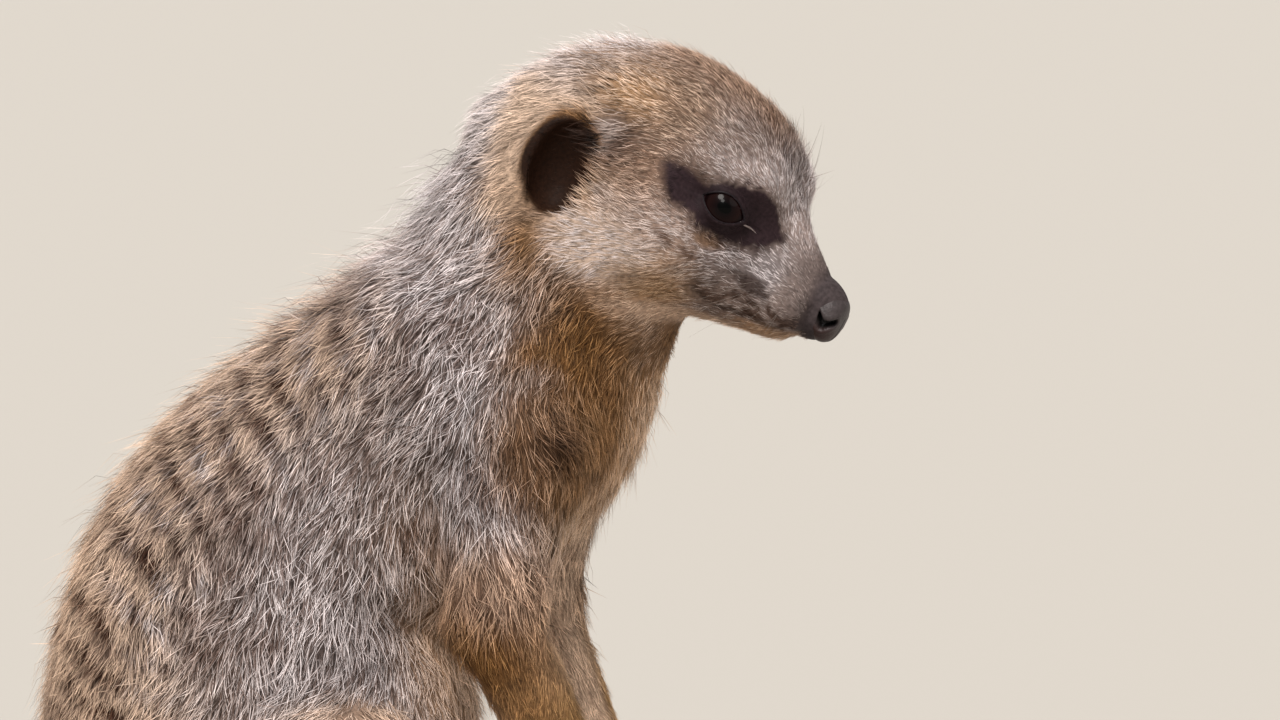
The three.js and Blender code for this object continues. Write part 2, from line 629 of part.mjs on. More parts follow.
// ---------------------------------------------------------------- tail
const tailCurve = new THREE.CatmullRomCurve3(TAIL.map((s) => new THREE.Vector3(...s.slice(0, 3))));
let rest = trunk.intersect(above(CUT.tail));
for (const [name, end] of Object.entries(TAIL_LENGTHS)) {
  const cut = { at: tailCurve.getPoint(end).toArray(), normal: tailCurve.getTangent(end).toArray() };
  put(name, end < 1 ? rest.intersect(below(cut)) : rest);
  rest = rest.intersect(above(cut));
}

// The origin is the middle of the box's underside.
const centre = new THREE.Box3().setFromObject(root).getCenter(new THREE.Vector3());
root.position.set(-centre.x, -centre.y, 0);
export default root;
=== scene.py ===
import math

import bmesh
import bpy
import numpy as np
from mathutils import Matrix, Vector
from mathutils.bvhtree import BVHTree
from mathutils.kdtree import KDTree


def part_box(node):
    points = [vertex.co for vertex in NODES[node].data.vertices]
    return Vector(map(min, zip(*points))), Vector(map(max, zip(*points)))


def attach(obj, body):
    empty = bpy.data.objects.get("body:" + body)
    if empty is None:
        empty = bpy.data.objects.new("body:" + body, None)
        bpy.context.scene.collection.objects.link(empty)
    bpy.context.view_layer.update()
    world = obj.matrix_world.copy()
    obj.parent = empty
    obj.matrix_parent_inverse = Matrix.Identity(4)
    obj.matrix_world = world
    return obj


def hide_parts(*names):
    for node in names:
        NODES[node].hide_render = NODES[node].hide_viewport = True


# The looks of a still, life-size meerkat: one skin over all the nodes of flesh, a coat of solid
# tufts on it, and eyes, nose, claws and whiskers. Lengths are in millimetres until a mesh is made.

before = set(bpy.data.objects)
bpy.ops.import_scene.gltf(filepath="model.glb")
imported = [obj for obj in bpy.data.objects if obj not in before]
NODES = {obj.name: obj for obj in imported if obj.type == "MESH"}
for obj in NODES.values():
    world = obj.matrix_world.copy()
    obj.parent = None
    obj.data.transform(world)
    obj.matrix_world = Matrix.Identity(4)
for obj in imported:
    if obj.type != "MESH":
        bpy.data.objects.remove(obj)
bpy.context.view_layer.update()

MM = 0.001
SIDES = {"left": 1, "right": -1}
SEED = 7

# -------- sizes

SKIN_GROWTH = 0.45          # closes the gaps between the nodes before they are joined
SKIN_CELL = 1.3
SKIN_EVENING = 26           # rounds of evening that take the nodes' facets away
NOSE_DROP = math.atan2(13.2, 23.7)   # the angle of the nose below the head's own level
EYE_BACK = 1.2              # how far the eyes lie behind the origin of the head's frame
EYE_RADIUS = 5.7
EYE_OPENING = (50, 27)      # half angles of the lids' opening, along and across, in degrees
NOSE_CENTRE = (22.5, 0, -13.2)       # in the head's frame: front, left, up
NOSE_RADII = (4.3, 4.6, 4.9)
MUZZLE_CENTRE = (18.5, 0, -13)
MUZZLE_SHAPES = (((17.6, 0, -11.6), (8.3, 5, 6.0)), ((19.6, 0, -13.6), (5.4, 4.9, 5.0)))
TUFTS = 236000
PIECE_TUFTS = 33000         # keeps each coat piece under 200,000 triangles
PATCH = 0.003               # the side of a tuft's patch on the unwrap
GUARD_SHARE = 0.17          # the share of longer, finer hairs that stand out of the coat
FLOOR_CLEARANCE = 0.25      # the lowest that a tuft may reach

# -------- vectors


def unit(v):
    v = np.asarray(v, float)
    return v / np.maximum(np.linalg.norm(v, axis=-1, keepdims=True), 1e-12)


def dot(a, b):
    return (a * b).sum(-1)


def size(v):
    return np.linalg.norm(v, axis=-1)


def step(low, high, x):
    """0 below low, 1 above high, and a smooth rise between them; high may be the lower one."""
    t = np.clip((x - low) / (high - low), 0, 1)
    return t * t * (3 - 2 * t)


def mix(a, b, t):
    """From a to b by t, number by number."""
    return a * (1 - t) + b * t


def blend(a, b, t):
    """From a to b by t, where a and b are vectors or colours."""
    return mix(np.asarray(a), np.asarray(b), np.asarray(t)[..., None])


def linear(code):
    """The linear colour of a written one such as a38575."""
    c = np.array([int(code[i:i + 2], 16) / 255 for i in (0, 2, 4)])
    return np.where(c <= 0.04045, c / 12.92, ((c + 0.055) / 1.055) ** 2.4)


def corners(node):
    low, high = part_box(node)
    return np.array(low) / MM, np.array(high) / MM


def spot(node, x=0.5, y=0.5, z=0.5):
    """A place in a node's box, as shares of its sides."""
    low, high = corners(node)
    return low + (high - low) * np.array([x, y, z])


# -------- the head's own frame

EYE = {side: spot("eye_" + side) for side in SIDES}
LEFT = unit(EYE["left"] - EYE["right"])
BETWEEN_EYES = (EYE["left"] + EYE["right"]) / 2
TO_NOSE = spot("nose") - BETWEEN_EYES
TO_NOSE = unit(TO_NOSE - LEFT * dot(TO_NOSE, LEFT))
RISE = np.cross(TO_NOSE, LEFT)
FRONT = TO_NOSE * math.cos(NOSE_DROP) + RISE * math.sin(NOSE_DROP)
UP = RISE * math.cos(NOSE_DROP) - TO_NOSE * math.sin(NOSE_DROP)
HEAD = BETWEEN_EYES + FRONT * EYE_BACK
HEAD_AXES = np.array([FRONT, LEFT, UP])


def in_head(points):
    """Front, left and up of points in the head's frame, named f, l and u below."""
    return (np.asarray(points) - HEAD) @ HEAD_AXES.T


def from_head(places):
    return HEAD + np.asarray(places) @ HEAD_AXES


def head_way(front, left, up):
    """A direction in the head's frame."""
    return np.array([front, left, up]) @ HEAD_AXES


# -------- meshes as arrays


def read(what, field, kind, width):
    """One field of all of a mesh's points, edges or the like."""
    values = np.zeros(len(what) * width, kind)
    what.foreach_get(field, values)
    return values.reshape(-1, width)


def points_of(mesh):
    return read(mesh.vertices, "co", np.float32, 3).astype(float) / MM


def set_points(mesh, points):
    mesh.vertices.foreach_set("co", (points * MM).astype(np.float32).ravel())


def triangles_of(mesh):
    mesh.calc_loop_triangles()
    return read(mesh.loop_triangles, "vertices", np.int32, 3)


def mesh_of(name, points, faces):
    """A mesh in metres of points in millimetres and of faces with the same number of corners."""
    faces = np.asarray(faces, np.int32)
    count, sides = faces.shape
    mesh = bpy.data.meshes.new(name)
    mesh.vertices.add(len(points))
    set_points(mesh, points)
    mesh.loops.add(count * sides)
    mesh.loops.foreach_set("vertex_index", faces.ravel())
    mesh.polygons.add(count)
    mesh.polygons.foreach_set("loop_start", np.arange(0, count * sides, sides, dtype=np.int32))
    mesh.polygons.foreach_set("use_smooth", np.ones(count, bool))
    mesh.update(calc_edges=True)
    return mesh


def added(name, data):
    """A new object in the scene."""
    thing = bpy.data.objects.new(name, data)
    bpy.context.scene.collection.objects.link(thing)
    return thing


def add_piece(name, mesh, material, replaces=()):
    piece = added(name, mesh)
    mesh.materials.append(material)
    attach(piece, "root")
    if replaces:
        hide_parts(*replaces)


def stack_faces(rings, around):
    """Triangles of a stack of rings, closed by two points that come after the rings' own."""
    k = np.arange(around)
    n = (k + 1) % around
    top = (rings - 1) * around
    faces = [np.stack([np.full(around, rings * around), n, k], 1),
             np.stack([np.full(around, rings * around + 1), top + k, top + n], 1)]
    for low in range(0, top, around):
        high = low + around
        faces += [np.stack([low + k, low + n, high + n], 1),
                  np.stack([low + k, high + n, high + k], 1)]
    return np.concatenate(faces)


def ball_angles(rings, around):
    """The angles off the axis and round it of a ball's points, in the order of stack_faces."""
    theta = np.linspace(math.pi, 0, rings + 2)
    phi = np.arange(around) * 2 * math.pi / around
    theta = np.concatenate([np.repeat(theta[1:-1], around), theta[[0, -1]]])
    return theta, np.concatenate([np.tile(phi, rings), [0, 0]])


def tube(line, radii, around, flat=1.0):
    """Points of a closed tapering tube along a line; flat is its width over its height."""
    line = np.asarray(line, float)
    along = unit(np.gradient(line, axis=0))
    side = unit(np.cross(along, UP))
    out = np.cross(side, along)
    turn = np.arange(around) * 2 * math.pi / around
    circle = side[:, None] * np.cos(turn)[:, None] * flat + out[:, None] * np.sin(turn)[:, None]
    rings = line[:, None] + circle * np.asarray(radii)[:, None, None]
    return np.concatenate([rings.reshape(-1, 3), line[:1], line[-1:]])


def joined(parts):
    """Points and faces of many parts as one mesh's."""
    points, faces, offset = [], [], 0
    for part_points, part_faces in parts:
        points.append(part_points)
        faces.append(part_faces + offset)
        offset += len(part_points)
    return np.concatenate(points), np.concatenate(faces)


def colour_attribute(mesh, name, colours):
    layer = mesh.color_attributes.new(name, "FLOAT_COLOR", "POINT")
    filled = np.ones((len(colours), 4), np.float32)
    filled[:, :3] = colours
    layer.data.foreach_set("color", filled.ravel())


def number_attribute(mesh, name, values):
    layer = mesh.attributes.new(name, "FLOAT", "POINT")
    layer.data.foreach_set("value", np.asarray(values, np.float32))


class Surface:
    """A mesh's points, edges and triangles, for evening and for normals."""

    def __init__(self, points, edges, triangles):
        self.points = points
        self.edges = edges
        self.triangles = triangles
        self.count = len(points)
        ends = np.concatenate([edges[:, 0], edges[:, 1]])
        self.degree = np.maximum(np.bincount(ends, minlength=self.count), 1)

    def neighbours(self, values):
        """The mean of each point's neighbours."""
        values = values.reshape(self.count, -1)
        a, b = self.edges.T
        mean = np.empty_like(values)
        for k in range(values.shape[1]):
            column = values[:, k]
            total = np.bincount(a, weights=column[b], minlength=self.count)
            total += np.bincount(b, weights=column[a], minlength=self.count)
            mean[:, k] = total / self.degree
        return mean

    def evened(self, values, rounds, share=0.5):
        shape = np.shape(values)
        values = np.array(values, float).reshape(self.count, -1)
        for _ in range(rounds):
            values += (self.neighbours(values) - values) * share
        return values.reshape(shape)

    def even(self, rounds, keep=None):
        """Evens the points without shrinking them; keep is each point's share of staying put."""
        free = 1 if keep is None else (1 - keep)[:, None]
        for _ in range(rounds):
            for share in (0.5, -0.52):
                self.points += (self.neighbours(self.points) - self.points) * share * free

    def normals(self):
        a, b, c = (self.points[self.triangles[:, k]] for k in range(3))
        across = np.cross(b - a, c - a)
        total = np.zeros((self.count, 3))
        for k in range(3):
            for axis in range(3):
                total[:, axis] += np.bincount(
                    self.triangles[:, k], weights=across[:, axis], minlength=self.count)
        return unit(total)


def surface_of(mesh):
    edges = read(mesh.edges, "vertices", np.int32, 2)
    return Surface(points_of(mesh), edges, triangles_of(mesh))


# -------- colours

COLOURS = {name: linear(code) for name, code in {
    "soot": "1c0f0a", "plum": "382a2e", "nose": "403839", "sepia": "35231b", "rust": "4a2c1e",
    "umber": "523525", "tawny": "5c3a1a", "slate": "584b49", "bark": "6e503f", "honey": "7e5936",
    "taupe": "8e766b", "grey": "a2938f", "amber": "a8783c", "gold": "b28350", "tan": "b0865f",
    "fawn": "c2a08c", "sand": "d0ae96", "ochre": "cca06a", "ash": "d0c2bc", "cream": "f0cfb4",
    "silver": "f2e8ea",
}.items()}

# -------- how the coat lies

# A guide is a place with the coat's way there, its length, its lift off the skin in degrees,
# the colour of its roots and of its tips, and the share of pale hairs in it. Guides off the
# middle stand for both sides: the sides are mirrored.
HEAD_GUIDES = [
    # front, left, up; way: front, left, up; length, lift, roots, tips, pale
    ((20, 0, -7.5), (-1, 0.15, 0.25), 1.3, 10, "slate", "taupe", 0.5),
    ((13, 0, 2), (-1, 0.1, 0.8), 1.8, 12, "taupe", "silver", 0.5),
    ((9, 0, 8), (-0.3, 0.1, 0.9), 4.8, 56, "bark", "silver", 0.75),
    ((6, 0, 12.5), (-0.5, 0.1, 0.8), 4.3, 50, "umber", "silver", 0.5),
    ((0, 0, 18), (-1, 0.1, 0.5), 3, 24, "umber", "sand", 0.33),
    ((-10, 0, 22.5), (-1, 0.1, 0.1), 2.9, 16, "umber", "sand", 0.5),
    ((-22, 0, 23), (-1, 0.1, -0.2), 3.4, 17, "bark", "sand", 0.6),
    ((-33, 0, 18), (-0.9, 0.1, -0.7), 5.5, 28, "tan", "silver", 0.85),
    ((-2, 14, 12), (-1, 0.2, 0.35), 2.4, 13, "umber", "ash", 0.35),
    ((-14, 17, 14), (-1, 0.2, 0.1), 2.8, 14, "umber", "cream", 0.36),
    ((7, 9, 6.5), (-0.9, 0.2, 0.5), 2, 13, "taupe", "silver", 0.9),
    ((-1, 15, 8.5), (-1, 0.2, 0.3), 2.2, 13, "taupe", "silver", 0.75),
    ((-8, 17, 4), (-1, 0.1, 0.1), 2.4, 12, "bark", "ash", 0.45),
    ((-16, 22, 2), (-1, 0.1, -0.1), 3, 14, "bark", "sand", 0.48),
    ((-24, 22, 14), (-1, 0.1, -0.2), 3.4, 16, "gold", "cream", 0.7),
    ((-25, 23.5, 2), (-1, 0.35, -0.1), 6, 22, "umber", "taupe", 0.4),
    ((-24, 23, 8), (-0.9, 0.35, -0.4), 7.5, 22, "umber", "grey", 0.4),
    ((-24, 24, -6), (-1, 0.3, 0.1), 3.6, 14, "tan", "cream", 0.8),
    ((-40, 17, -2), (-0.8, 0.2, -0.6), 6, 26, "ash", "silver", 1),
    ((-10, 17, -6), (-1, 0.1, -0.25), 3, 13, "fawn", "silver", 0.95),
    ((-22, 20, -8), (-1, 0.1, -0.38), 4.2, 14, "ash", "silver", 1),
    ((-30, 19, -14), (-0.9, 0.1, -0.6), 5, 17, "sand", "silver", 0.95),
    ((-8, 15, -15), (-1, 0.1, -0.3), 3.2, 13, "tan", "cream", 0.7),
    ((-20, 15, -20), (-0.9, 0, -0.5), 4.2, 15, "honey", "gold", 0.4),
    ((3, 12, -8), (-1, 0.2, 0.15), 3, 14, "umber", "silver", 0.75),
    ((10, 9, -9), (-1, 0.2, 0.2), 2.6, 13, "slate", "silver", 0.65),
    ((16, 6, -12), (-1, 0.2, 0.2), 2, 11, "taupe", "ash", 0.45),
    ((6, 10, -16), (-1, 0.2, 0), 2.5, 13, "umber", "ash", 0.35),
    ((12, 0, -22), (-1, 0.1, -0.1), 2.2, 14, "honey", "sand", 0.5),
    ((0, 0, -24), (-1, 0.1, -0.1), 2.6, 14, "tawny", "amber", 0.5),
    ((-12, 0, -26), (-0.8, 0, -0.7), 4, 18, "tawny", "amber", 0.4),
]

# A node, a place as shares of its box, the way along the room's axes, and then as above.
BODY_GUIDES = [
    ("neck", (0.22, 0.5, 0.8), (-0.63, 0, -0.77), 9.5, 38, "taupe", "silver", 0.9),
    ("neck", (0.1, 0.5, 0.55), (-0.66, 0, -0.75), 9.5, 34, "bark", "silver", 0.5),
    ("neck", (0.36, 0.06, 0.75), (-0.55, 0, -0.83), 6.5, 22, "taupe", "silver", 0.75),
    ("neck", (0.36, 0.02, 0.4), (-0.6, 0, -0.8), 7, 23, "umber", "silver", 0.6),
    ("neck", (0.52, 0.04, 0.35), (-0.55, 0, -0.83), 6.5, 22, "umber", "silver", 0.6),
    ("neck", (0.45, 0.02, 0.12), (-0.55, 0, -0.83), 7, 23, "umber", "silver", 0.5),
    ("neck", (0.78, 0.06, 0.3), (-0.5, 0, -0.85), 6, 26, "tawny", "gold", 0.32),
    ("neck", (0.98, 0.5, 0.4), (-0.2, 0, -1), 6, 28, "gold", "cream", 0.8),
    ("chest", (0.05, 0.5, 0.75), (-0.76, 0, -0.65), 8, 26, "tan", "cream", 0.75),
    ("chest", (0.2, 0.08, 0.65), (-0.6, 0, -0.8), 7, 24, "umber", "silver", 0.47),
    ("chest", (0.3, 0, 0.35), (-0.45, 0, -0.9), 7, 22, "umber", "silver", 0.42),
    ("chest", (0.8, 0.1, 0.8), (-0.3, 0, -1), 5.5, 24, "tawny", "amber", 0.25),
    ("chest", (0.9, 0.12, 0.58), (-0.2, 0, -1), 5.5, 22, "tawny", "gold", 0.15),
    ("chest", (1, 0.5, 0.55), (0, 0, -1), 6, 22, "gold", "cream", 0.85),
    ("chest", (0.85, 0.5, 0.1), (0, 0, -1), 6.5, 18, "gold", "cream", 0.75),
    ("belly", (0.02, 0.5, 0.8), (-0.62, 0, -0.79), 7.5, 23, "tan", "cream", 0.8),
    ("belly", (0.08, 0.15, 0.5), (-0.5, 0, -0.87), 7, 20, "bark", "cream", 0.7),
    ("belly", (0.3, 0, 0.7), (-0.25, 0, -0.97), 7.5, 21, "umber", "silver", 0.47),
    ("belly", (0.75, 0.05, 0.4), (-0.15, 0, -0.98), 8, 19, "umber", "silver", 0.62),
    ("belly", (0.95, 0.5, 0.5), (0, 0, -1), 7, 18, "tan", "cream", 0.9),
    ("rump", (0.02, 0.5, 0.85), (-0.3, 0, -0.95), 7, 20, "tan", "cream", 0.7),
    ("rump", (0.05, 0.5, 0.35), (-0.6, 0, -0.8), 6, 16, "bark", "cream", 0.4),
    ("rump", (0.95, 0.5, 0.4), (0.2, 0, -1), 6, 14, "honey", "cream", 0.5),
    ("rump", (0.5, 0.5, 0), (-1, 0, 0), 3, 6, "honey", "tan", 0.1),
]

# The same for the right side's limbs: a share of 0 in y is their outer side.
LIMB_GUIDES = [
    ("upper_arm", (0.5, 0, 0.95), (-0.2, 0, -1), 6.5, 20, "umber", "silver", 0.48),
    ("upper_arm", (0.35, 0, 0.5), (-0.08, 0, -1), 7.5, 16, "umber", "silver", 0.5),
    ("upper_arm", (0.95, 0.5, 0.6), (0, 0, -1), 6, 16, "ochre", "cream", 1),
    ("upper_arm", (0.4, 0, 0.1), (0.05, 0, -1), 8, 13, "bark", "sand", 0.7),
    # the inner side: pale fur, made paler still as painted light where it lies in shade
    ("upper_arm", (0.4, 1, 0.3), (0, 0, -1), 6, 14, "cream", "cream", 1),
    ("forearm", (0.3, 0, 0.75), (0.3, 0, -0.95), 4.5, 13, "tawny", "gold", 0.25),
    ("forearm", (0.6, 0, 0.3), (0.4, 0.1, -0.9), 3.4, 12, "honey", "gold", 0.4),
    ("forearm", (0.9, 0.5, 0.3), (0.3, 0, -0.95), 3.2, 12, "honey", "ochre", 0.45),
    # the inner side: pale fur, made paler still as painted light where it lies in shade
    ("forearm", (0.5, 1, 0.5), (0.4, 0, -0.9), 4.5, 14, "cream", "cream", 1),
    ("hand", (0.5, 0.2, 0.7), (0.1, 0, -1), 2, 10, "tan", "cream", 0.6),
    ("hand", (0.6, 0.5, 0.2), (0.1, 0, -1), 1.5, 9, "tan", "cream", 0.6),
    ("thigh", (0.1, 0.1, 0.85), (-0.15, 0, -1), 7.5, 18, "umber", "cream", 0.6),
    ("thigh", (0.5, 0, 0.6), (0.05, 0, -1), 7.5, 17, "umber", "silver", 0.55),
    ("thigh", (0.95, 0.2, 0.7), (0.1, 0, -1), 6.5, 15, "sand", "cream", 1),
    ("thigh", (0.3, 0.1, 0.15), (-0.5, 0, -0.85), 6, 15, "bark", "cream", 0.5),
    ("thigh", (0.8, 1, 0.5), (0, 0, -1), 6, 14, "tan", "cream", 0.5),
    ("shank", (0.8, 0.2, 0.5), (-0.9, 0, -0.4), 3.4, 13, "honey", "cream", 0.5),
    ("shank", (0.2, 0.2, 0.5), (-0.7, 0, -0.7), 3, 13, "honey", "cream", 0.5),
    ("foot", (0.1, 0.5, 0.8), (0.3, 0, -1), 2.4, 11, "honey", "cream", 0.5),
    ("foot", (0.45, 0.5, 0.95), (1, 0, -0.1), 2, 9, "tan", "cream", 0.5),
    ("foot", (0.85, 0.5, 0.8), (1, 0, -0.3), 1.5, 8, "tan", "cream", 0.5),
]

TAIL_HAIR = {"tail_root": 6, "tail_near": 5, "tail_far": 4.6, "tail_tip": 5}   # its length by node


def guides():
    """All guides, on both sides: places, ways, the coat's numbers, its colours, and their groups."""
    found = []

    def put(place, way, length, lift, roots, tips, pale, group):
        numbers = [length, lift, pale]
        found.append((place, unit(way), numbers, COLOURS[roots], COLOURS[tips], group))

    for (f, l, u), (wf, wl, wu), *rest in HEAD_GUIDES:
        for sign in ((1,) if l == 0 else (1, -1)):
            put(from_head((f, l * sign, u)), head_way(wf, wl * sign, wu), *rest, "head")
    for node, (x, y, z), way, *rest in BODY_GUIDES:
        for share in ((y,) if y == 0.5 else (y, 1 - y)):
            put(spot(node, x, share, z), way, *rest, "trunk")
    for node, (x, y, z), (wx, wy, wz), *rest in LIMB_GUIDES:
        for side, sign in SIDES.items():
            share = y if sign < 0 else 1 - y
            put(spot(f"{node}_{side}", x, share, z), (wx, -wy * sign, wz), *rest,
                group_of(f"{node}_{side}"))
    places = [spot(name) for name in TAIL_HAIR]
    for k, length in enumerate(TAIL_HAIR.values()):
        way = places[min(k + 1, 3)] - places[min(k, 2)]
        put(places[k], way, length, 17, "honey", "sand", 0.3, "tail")
    return found


GROUPS = {"head": ("head", "ear", "eye", "nose"), "trunk": ("neck", "chest", "belly", "rump"),
          "tail": ("tail",), "arm": ("upper", "forearm", "hand"), "leg": ("thigh", "shank", "foot")}


def group_of(node):
    """The part of the body whose guides count for a node."""
    group = next(g for g, parts in GROUPS.items() if node.startswith(parts))
    return group + node.rpartition("_")[2] if group in ("arm", "leg") else group


# -------- the bare skin

FLESH = sorted(n for n in NODES if not n.startswith(("claw", "eye", "nose")))
UNDER_SKIN = sorted(n for n in NODES if not n.startswith("claw"))
UNDER_GROUPS = np.array([group_of(n) for n in UNDER_SKIN])


def node_arrays(name):
    """A node's points, merged where they are alike, and its triangles."""
    mesh = NODES[name].data
    unique, index = np.unique(np.round(points_of(mesh), 4), axis=0, return_inverse=True)
    triangles = index.reshape(-1)[triangles_of(mesh)]
    whole = (triangles[:, 0] != triangles[:, 1]) & (triangles[:, 1] != triangles[:, 2])
    whole &= triangles[:, 2] != triangles[:, 0]
    return unique, triangles[whole]


def remeshed(points, triangles, cell):
    """One closed surface of even quads round all the solids."""
    mesh = mesh_of("under_skin", points, triangles)
    whole = added("under_skin", mesh)
    modifier = whole.modifiers.new("remesh", "REMESH")
    modifier.mode = "VOXEL"
    modifier.voxel_size = cell * MM
    evaluated = whole.evaluated_get(bpy.context.evaluated_depsgraph_get())
    result = bpy.data.meshes.new_from_object(evaluated)
    bpy.data.objects.remove(whole)
    bpy.data.meshes.remove(mesh)
    return result


def keep_biggest_part(mesh):
    """Drops closed pockets that the remesh leaves inside."""
    surface = surface_of(mesh)
    label = np.arange(surface.count)
    a, b = surface.edges.T
    while True:
        low = np.minimum(label[a], label[b])
        new = label.copy()
        np.minimum.at(new, a, low)
        np.minimum.at(new, b, low)
        new = new[new]
        if (new == label).all():
            break
        label = new
    main = np.bincount(label).argmax()
    shape = bmesh.new()
    shape.from_mesh(mesh)
    shape.verts.ensure_lookup_table()
    loose = [shape.verts[i] for i in np.nonzero(label != main)[0]]
    bmesh.ops.delete(shape, geom=loose, context="VERTS")
    shape.to_mesh(mesh)
    shape.free()


def refine(mesh, regions):
    """Halves the cells of each region in turn; a region is a test of points."""
    shape = bmesh.new()
    shape.from_mesh(mesh)
    for region in regions:
        shape.verts.index_update()
        inside = region(np.array([v.co for v in shape.verts]) / MM)
        edges = [e for e in shape.edges
                 if inside[e.verts[0].index] and inside[e.verts[1].index]]
        bmesh.ops.subdivide_edges(shape, edges=edges, cuts=1, use_grid_fill=True)
    shape.to_mesh(mesh)
    shape.free()


def on_face(points):
    f, l, u = in_head(points).T
    return (f > -9) & (u > -27) & (u < 12) & (np.abs(l) < 26)


def on_eyes_or_muzzle(points):
    f, l, u = in_head(points).T
    near_eye = np.zeros(len(points), bool)
    for side in SIDES:
        near_eye |= size(points - EYE[side]) < EYE_RADIUS + 4.5
    return near_eye | ((f > 4) & (u < -6) & (u > -24) & (np.abs(l) < 14))


def union_of_solids():
    """The union of the solids as one even mesh, with a search tree and its triangles' nodes."""
    all_points, all_triangles, owner = [], [], []
    offset = 0
    for index, name in enumerate(UNDER_SKIN):
        points, triangles = node_arrays(name)
        solid = Surface(points, np.zeros((0, 2), int), triangles)
        all_points.append(points + solid.normals() * SKIN_GROWTH)
        all_triangles.append(triangles + offset)
        owner += [index] * len(triangles)
        offset += len(points)
    points = np.concatenate(all_points)
    triangles = np.concatenate(all_triangles)
    mesh = remeshed(points, triangles, SKIN_CELL)
    keep_biggest_part(mesh)
    return mesh, BVHTree.FromPolygons(points.tolist(), triangles.tolist()), owner


def nearest_nodes(points, tree, owner):
    """The node nearest each point, as its index in UNDER_SKIN."""
    return np.array([owner[tree.find_nearest(p)[2]] for p in points.tolist()])


def nearest_of(points, places):
    """The index of the point that is nearest each place."""
    tree = KDTree(len(points))
    for k, point in enumerate(points.tolist()):
        tree.insert(point, k)
    tree.balance()
    return np.array([tree.find(p)[1] for p in places.tolist()])


GUIDE_REACH = 3             # how far a guide holds alone, about
GUIDE_FALL = 2.2            # how steeply it gives way to others further off
OTHER_GROUP = 10            # how much further off the guides of other groups count
COAT_EVENING = 10
COAT_DEPTH = 0.62           # how far the skin lies in, as a share of the height of the hairs' tips


class Coat:
    """The guides' numbers at each point of the skin."""

    def __init__(self, skin, label):
        found = guides()
        places = np.array([g[0] for g in found])
        table = np.array([np.concatenate([g[1], g[2], g[3], g[4]]) for g in found])
        groups = UNDER_GROUPS[label]
        weights = np.empty((skin.count, len(found)), np.float32)
        for k, guide in enumerate(found):
            away = size(skin.points - places[k])
            away += np.where(groups == guide[5], 0, OTHER_GROUP + away)
            weights[:, k] = 1 / (away * away + GUIDE_REACH ** 2) ** GUIDE_FALL
        weights /= weights.sum(1, keepdims=True)
        values = skin.evened(weights @ table, COAT_EVENING)
        self.way = values[:, 0:3]
        self.length = values[:, 3]
        self.lift = values[:, 4]
        self.pale = values[:, 5]
        self.roots = values[:, 6:9]
        self.tips = values[:, 9:12]

    def depth(self):
        return SKIN_GROWTH + 0.1 + COAT_DEPTH * self.length * np.sin(np.radians(self.lift))


def mask_of(skin, label, prefix, rounds=4):
    """A soft mask of the skin over the nodes whose names start so."""
    chosen = np.array([n.startswith(prefix) for n in UNDER_SKIN])
    return skin.evened(chosen[label].astype(float), rounds)


# -------- the eyes' place in the face

LID_SLANT = math.radians(-8)
EYE_BOW = 1                 # how far the opening's ends lie below its middle, in degrees
ALMOND = 1.4                # 1 makes the opening an ellipse; more points its ends
EYE_WAY = (0.34, 0.925, 0.17)


def eye_axes(side):
    """The way the eye looks, the long axis of its opening, and the axis across that."""
    sign = SIDES[side]
    ahead = unit(head_way(EYE_WAY[0], EYE_WAY[1] * sign, EYE_WAY[2]))
    along = head_way(math.cos(LID_SLANT), 0, math.sin(LID_SLANT))
    along = unit(along - ahead * dot(along, ahead))
    across = np.cross(ahead, along) * -sign
    return ahead, along, across


def opening_share(points, side):
    """How far out each point lies in the lids' opening, 1 on their edge, and how high, in degrees."""
    ahead, along, across = eye_axes(side)
    v = unit(points - EYE[side])
    x = np.degrees(np.arctan2(v @ along, v @ ahead))
    y = np.degrees(np.arctan2(v @ across, v @ ahead))
    y = y + EYE_BOW * (x / EYE_OPENING[0]) ** 2
    wide, high = (x / EYE_OPENING[0]) ** 2, np.abs(y / EYE_OPENING[1]) ** (2 / ALMOND)
    share = np.sqrt(wide + high)
    for _ in range(8):
        share = np.sqrt(wide + high * share ** (2 - 2 / ALMOND))
    return np.where(v @ ahead > 0, share, 9), y


def shape_lids(skin):
    """Draws the skin round the eyes into lids, and sinks it under the eyes in the openings."""
    for side in SIDES:
        share, y = opening_share(skin.points, side)
        v = skin.points - EYE[side]
        away = size(v)
        near = (away < EYE_RADIUS + 6) & (share < 3)
        outer = mix(EYE_RADIUS + 0.5, away, step(1.0, 2.3, share))
        upper = step(-10, 10, y)
        outer += 0.15 * upper * np.exp(-((share - 1.2) / 0.14) ** 2)
        outer -= mix(0.12, 0.32, upper) * np.exp(-((share - 1.55) / 0.1) ** 2)
        outer -= 0.1 * np.exp(-((share - 1.95) / 0.1) ** 2)
        outer = np.maximum(outer, EYE_RADIUS + 0.15)
        wanted = mix(EYE_RADIUS - 1.0, outer, step(0.9, 1.0, share))
        moved = EYE[side] + v / away[:, None] * wanted[:, None]
        skin.points[near] = moved[near]


def reach(ways, start, centre, radii):
    """How far it is from a place inside an ellipsoid to its surface, each way."""
    a = ways / radii
    b = (np.asarray(start, float) - centre) / radii
    aa, ab, bb = dot(a, a), a @ b, b @ b
    return (np.sqrt(np.maximum(ab * ab - aa * (bb - 1), 0)) - ab) / aa


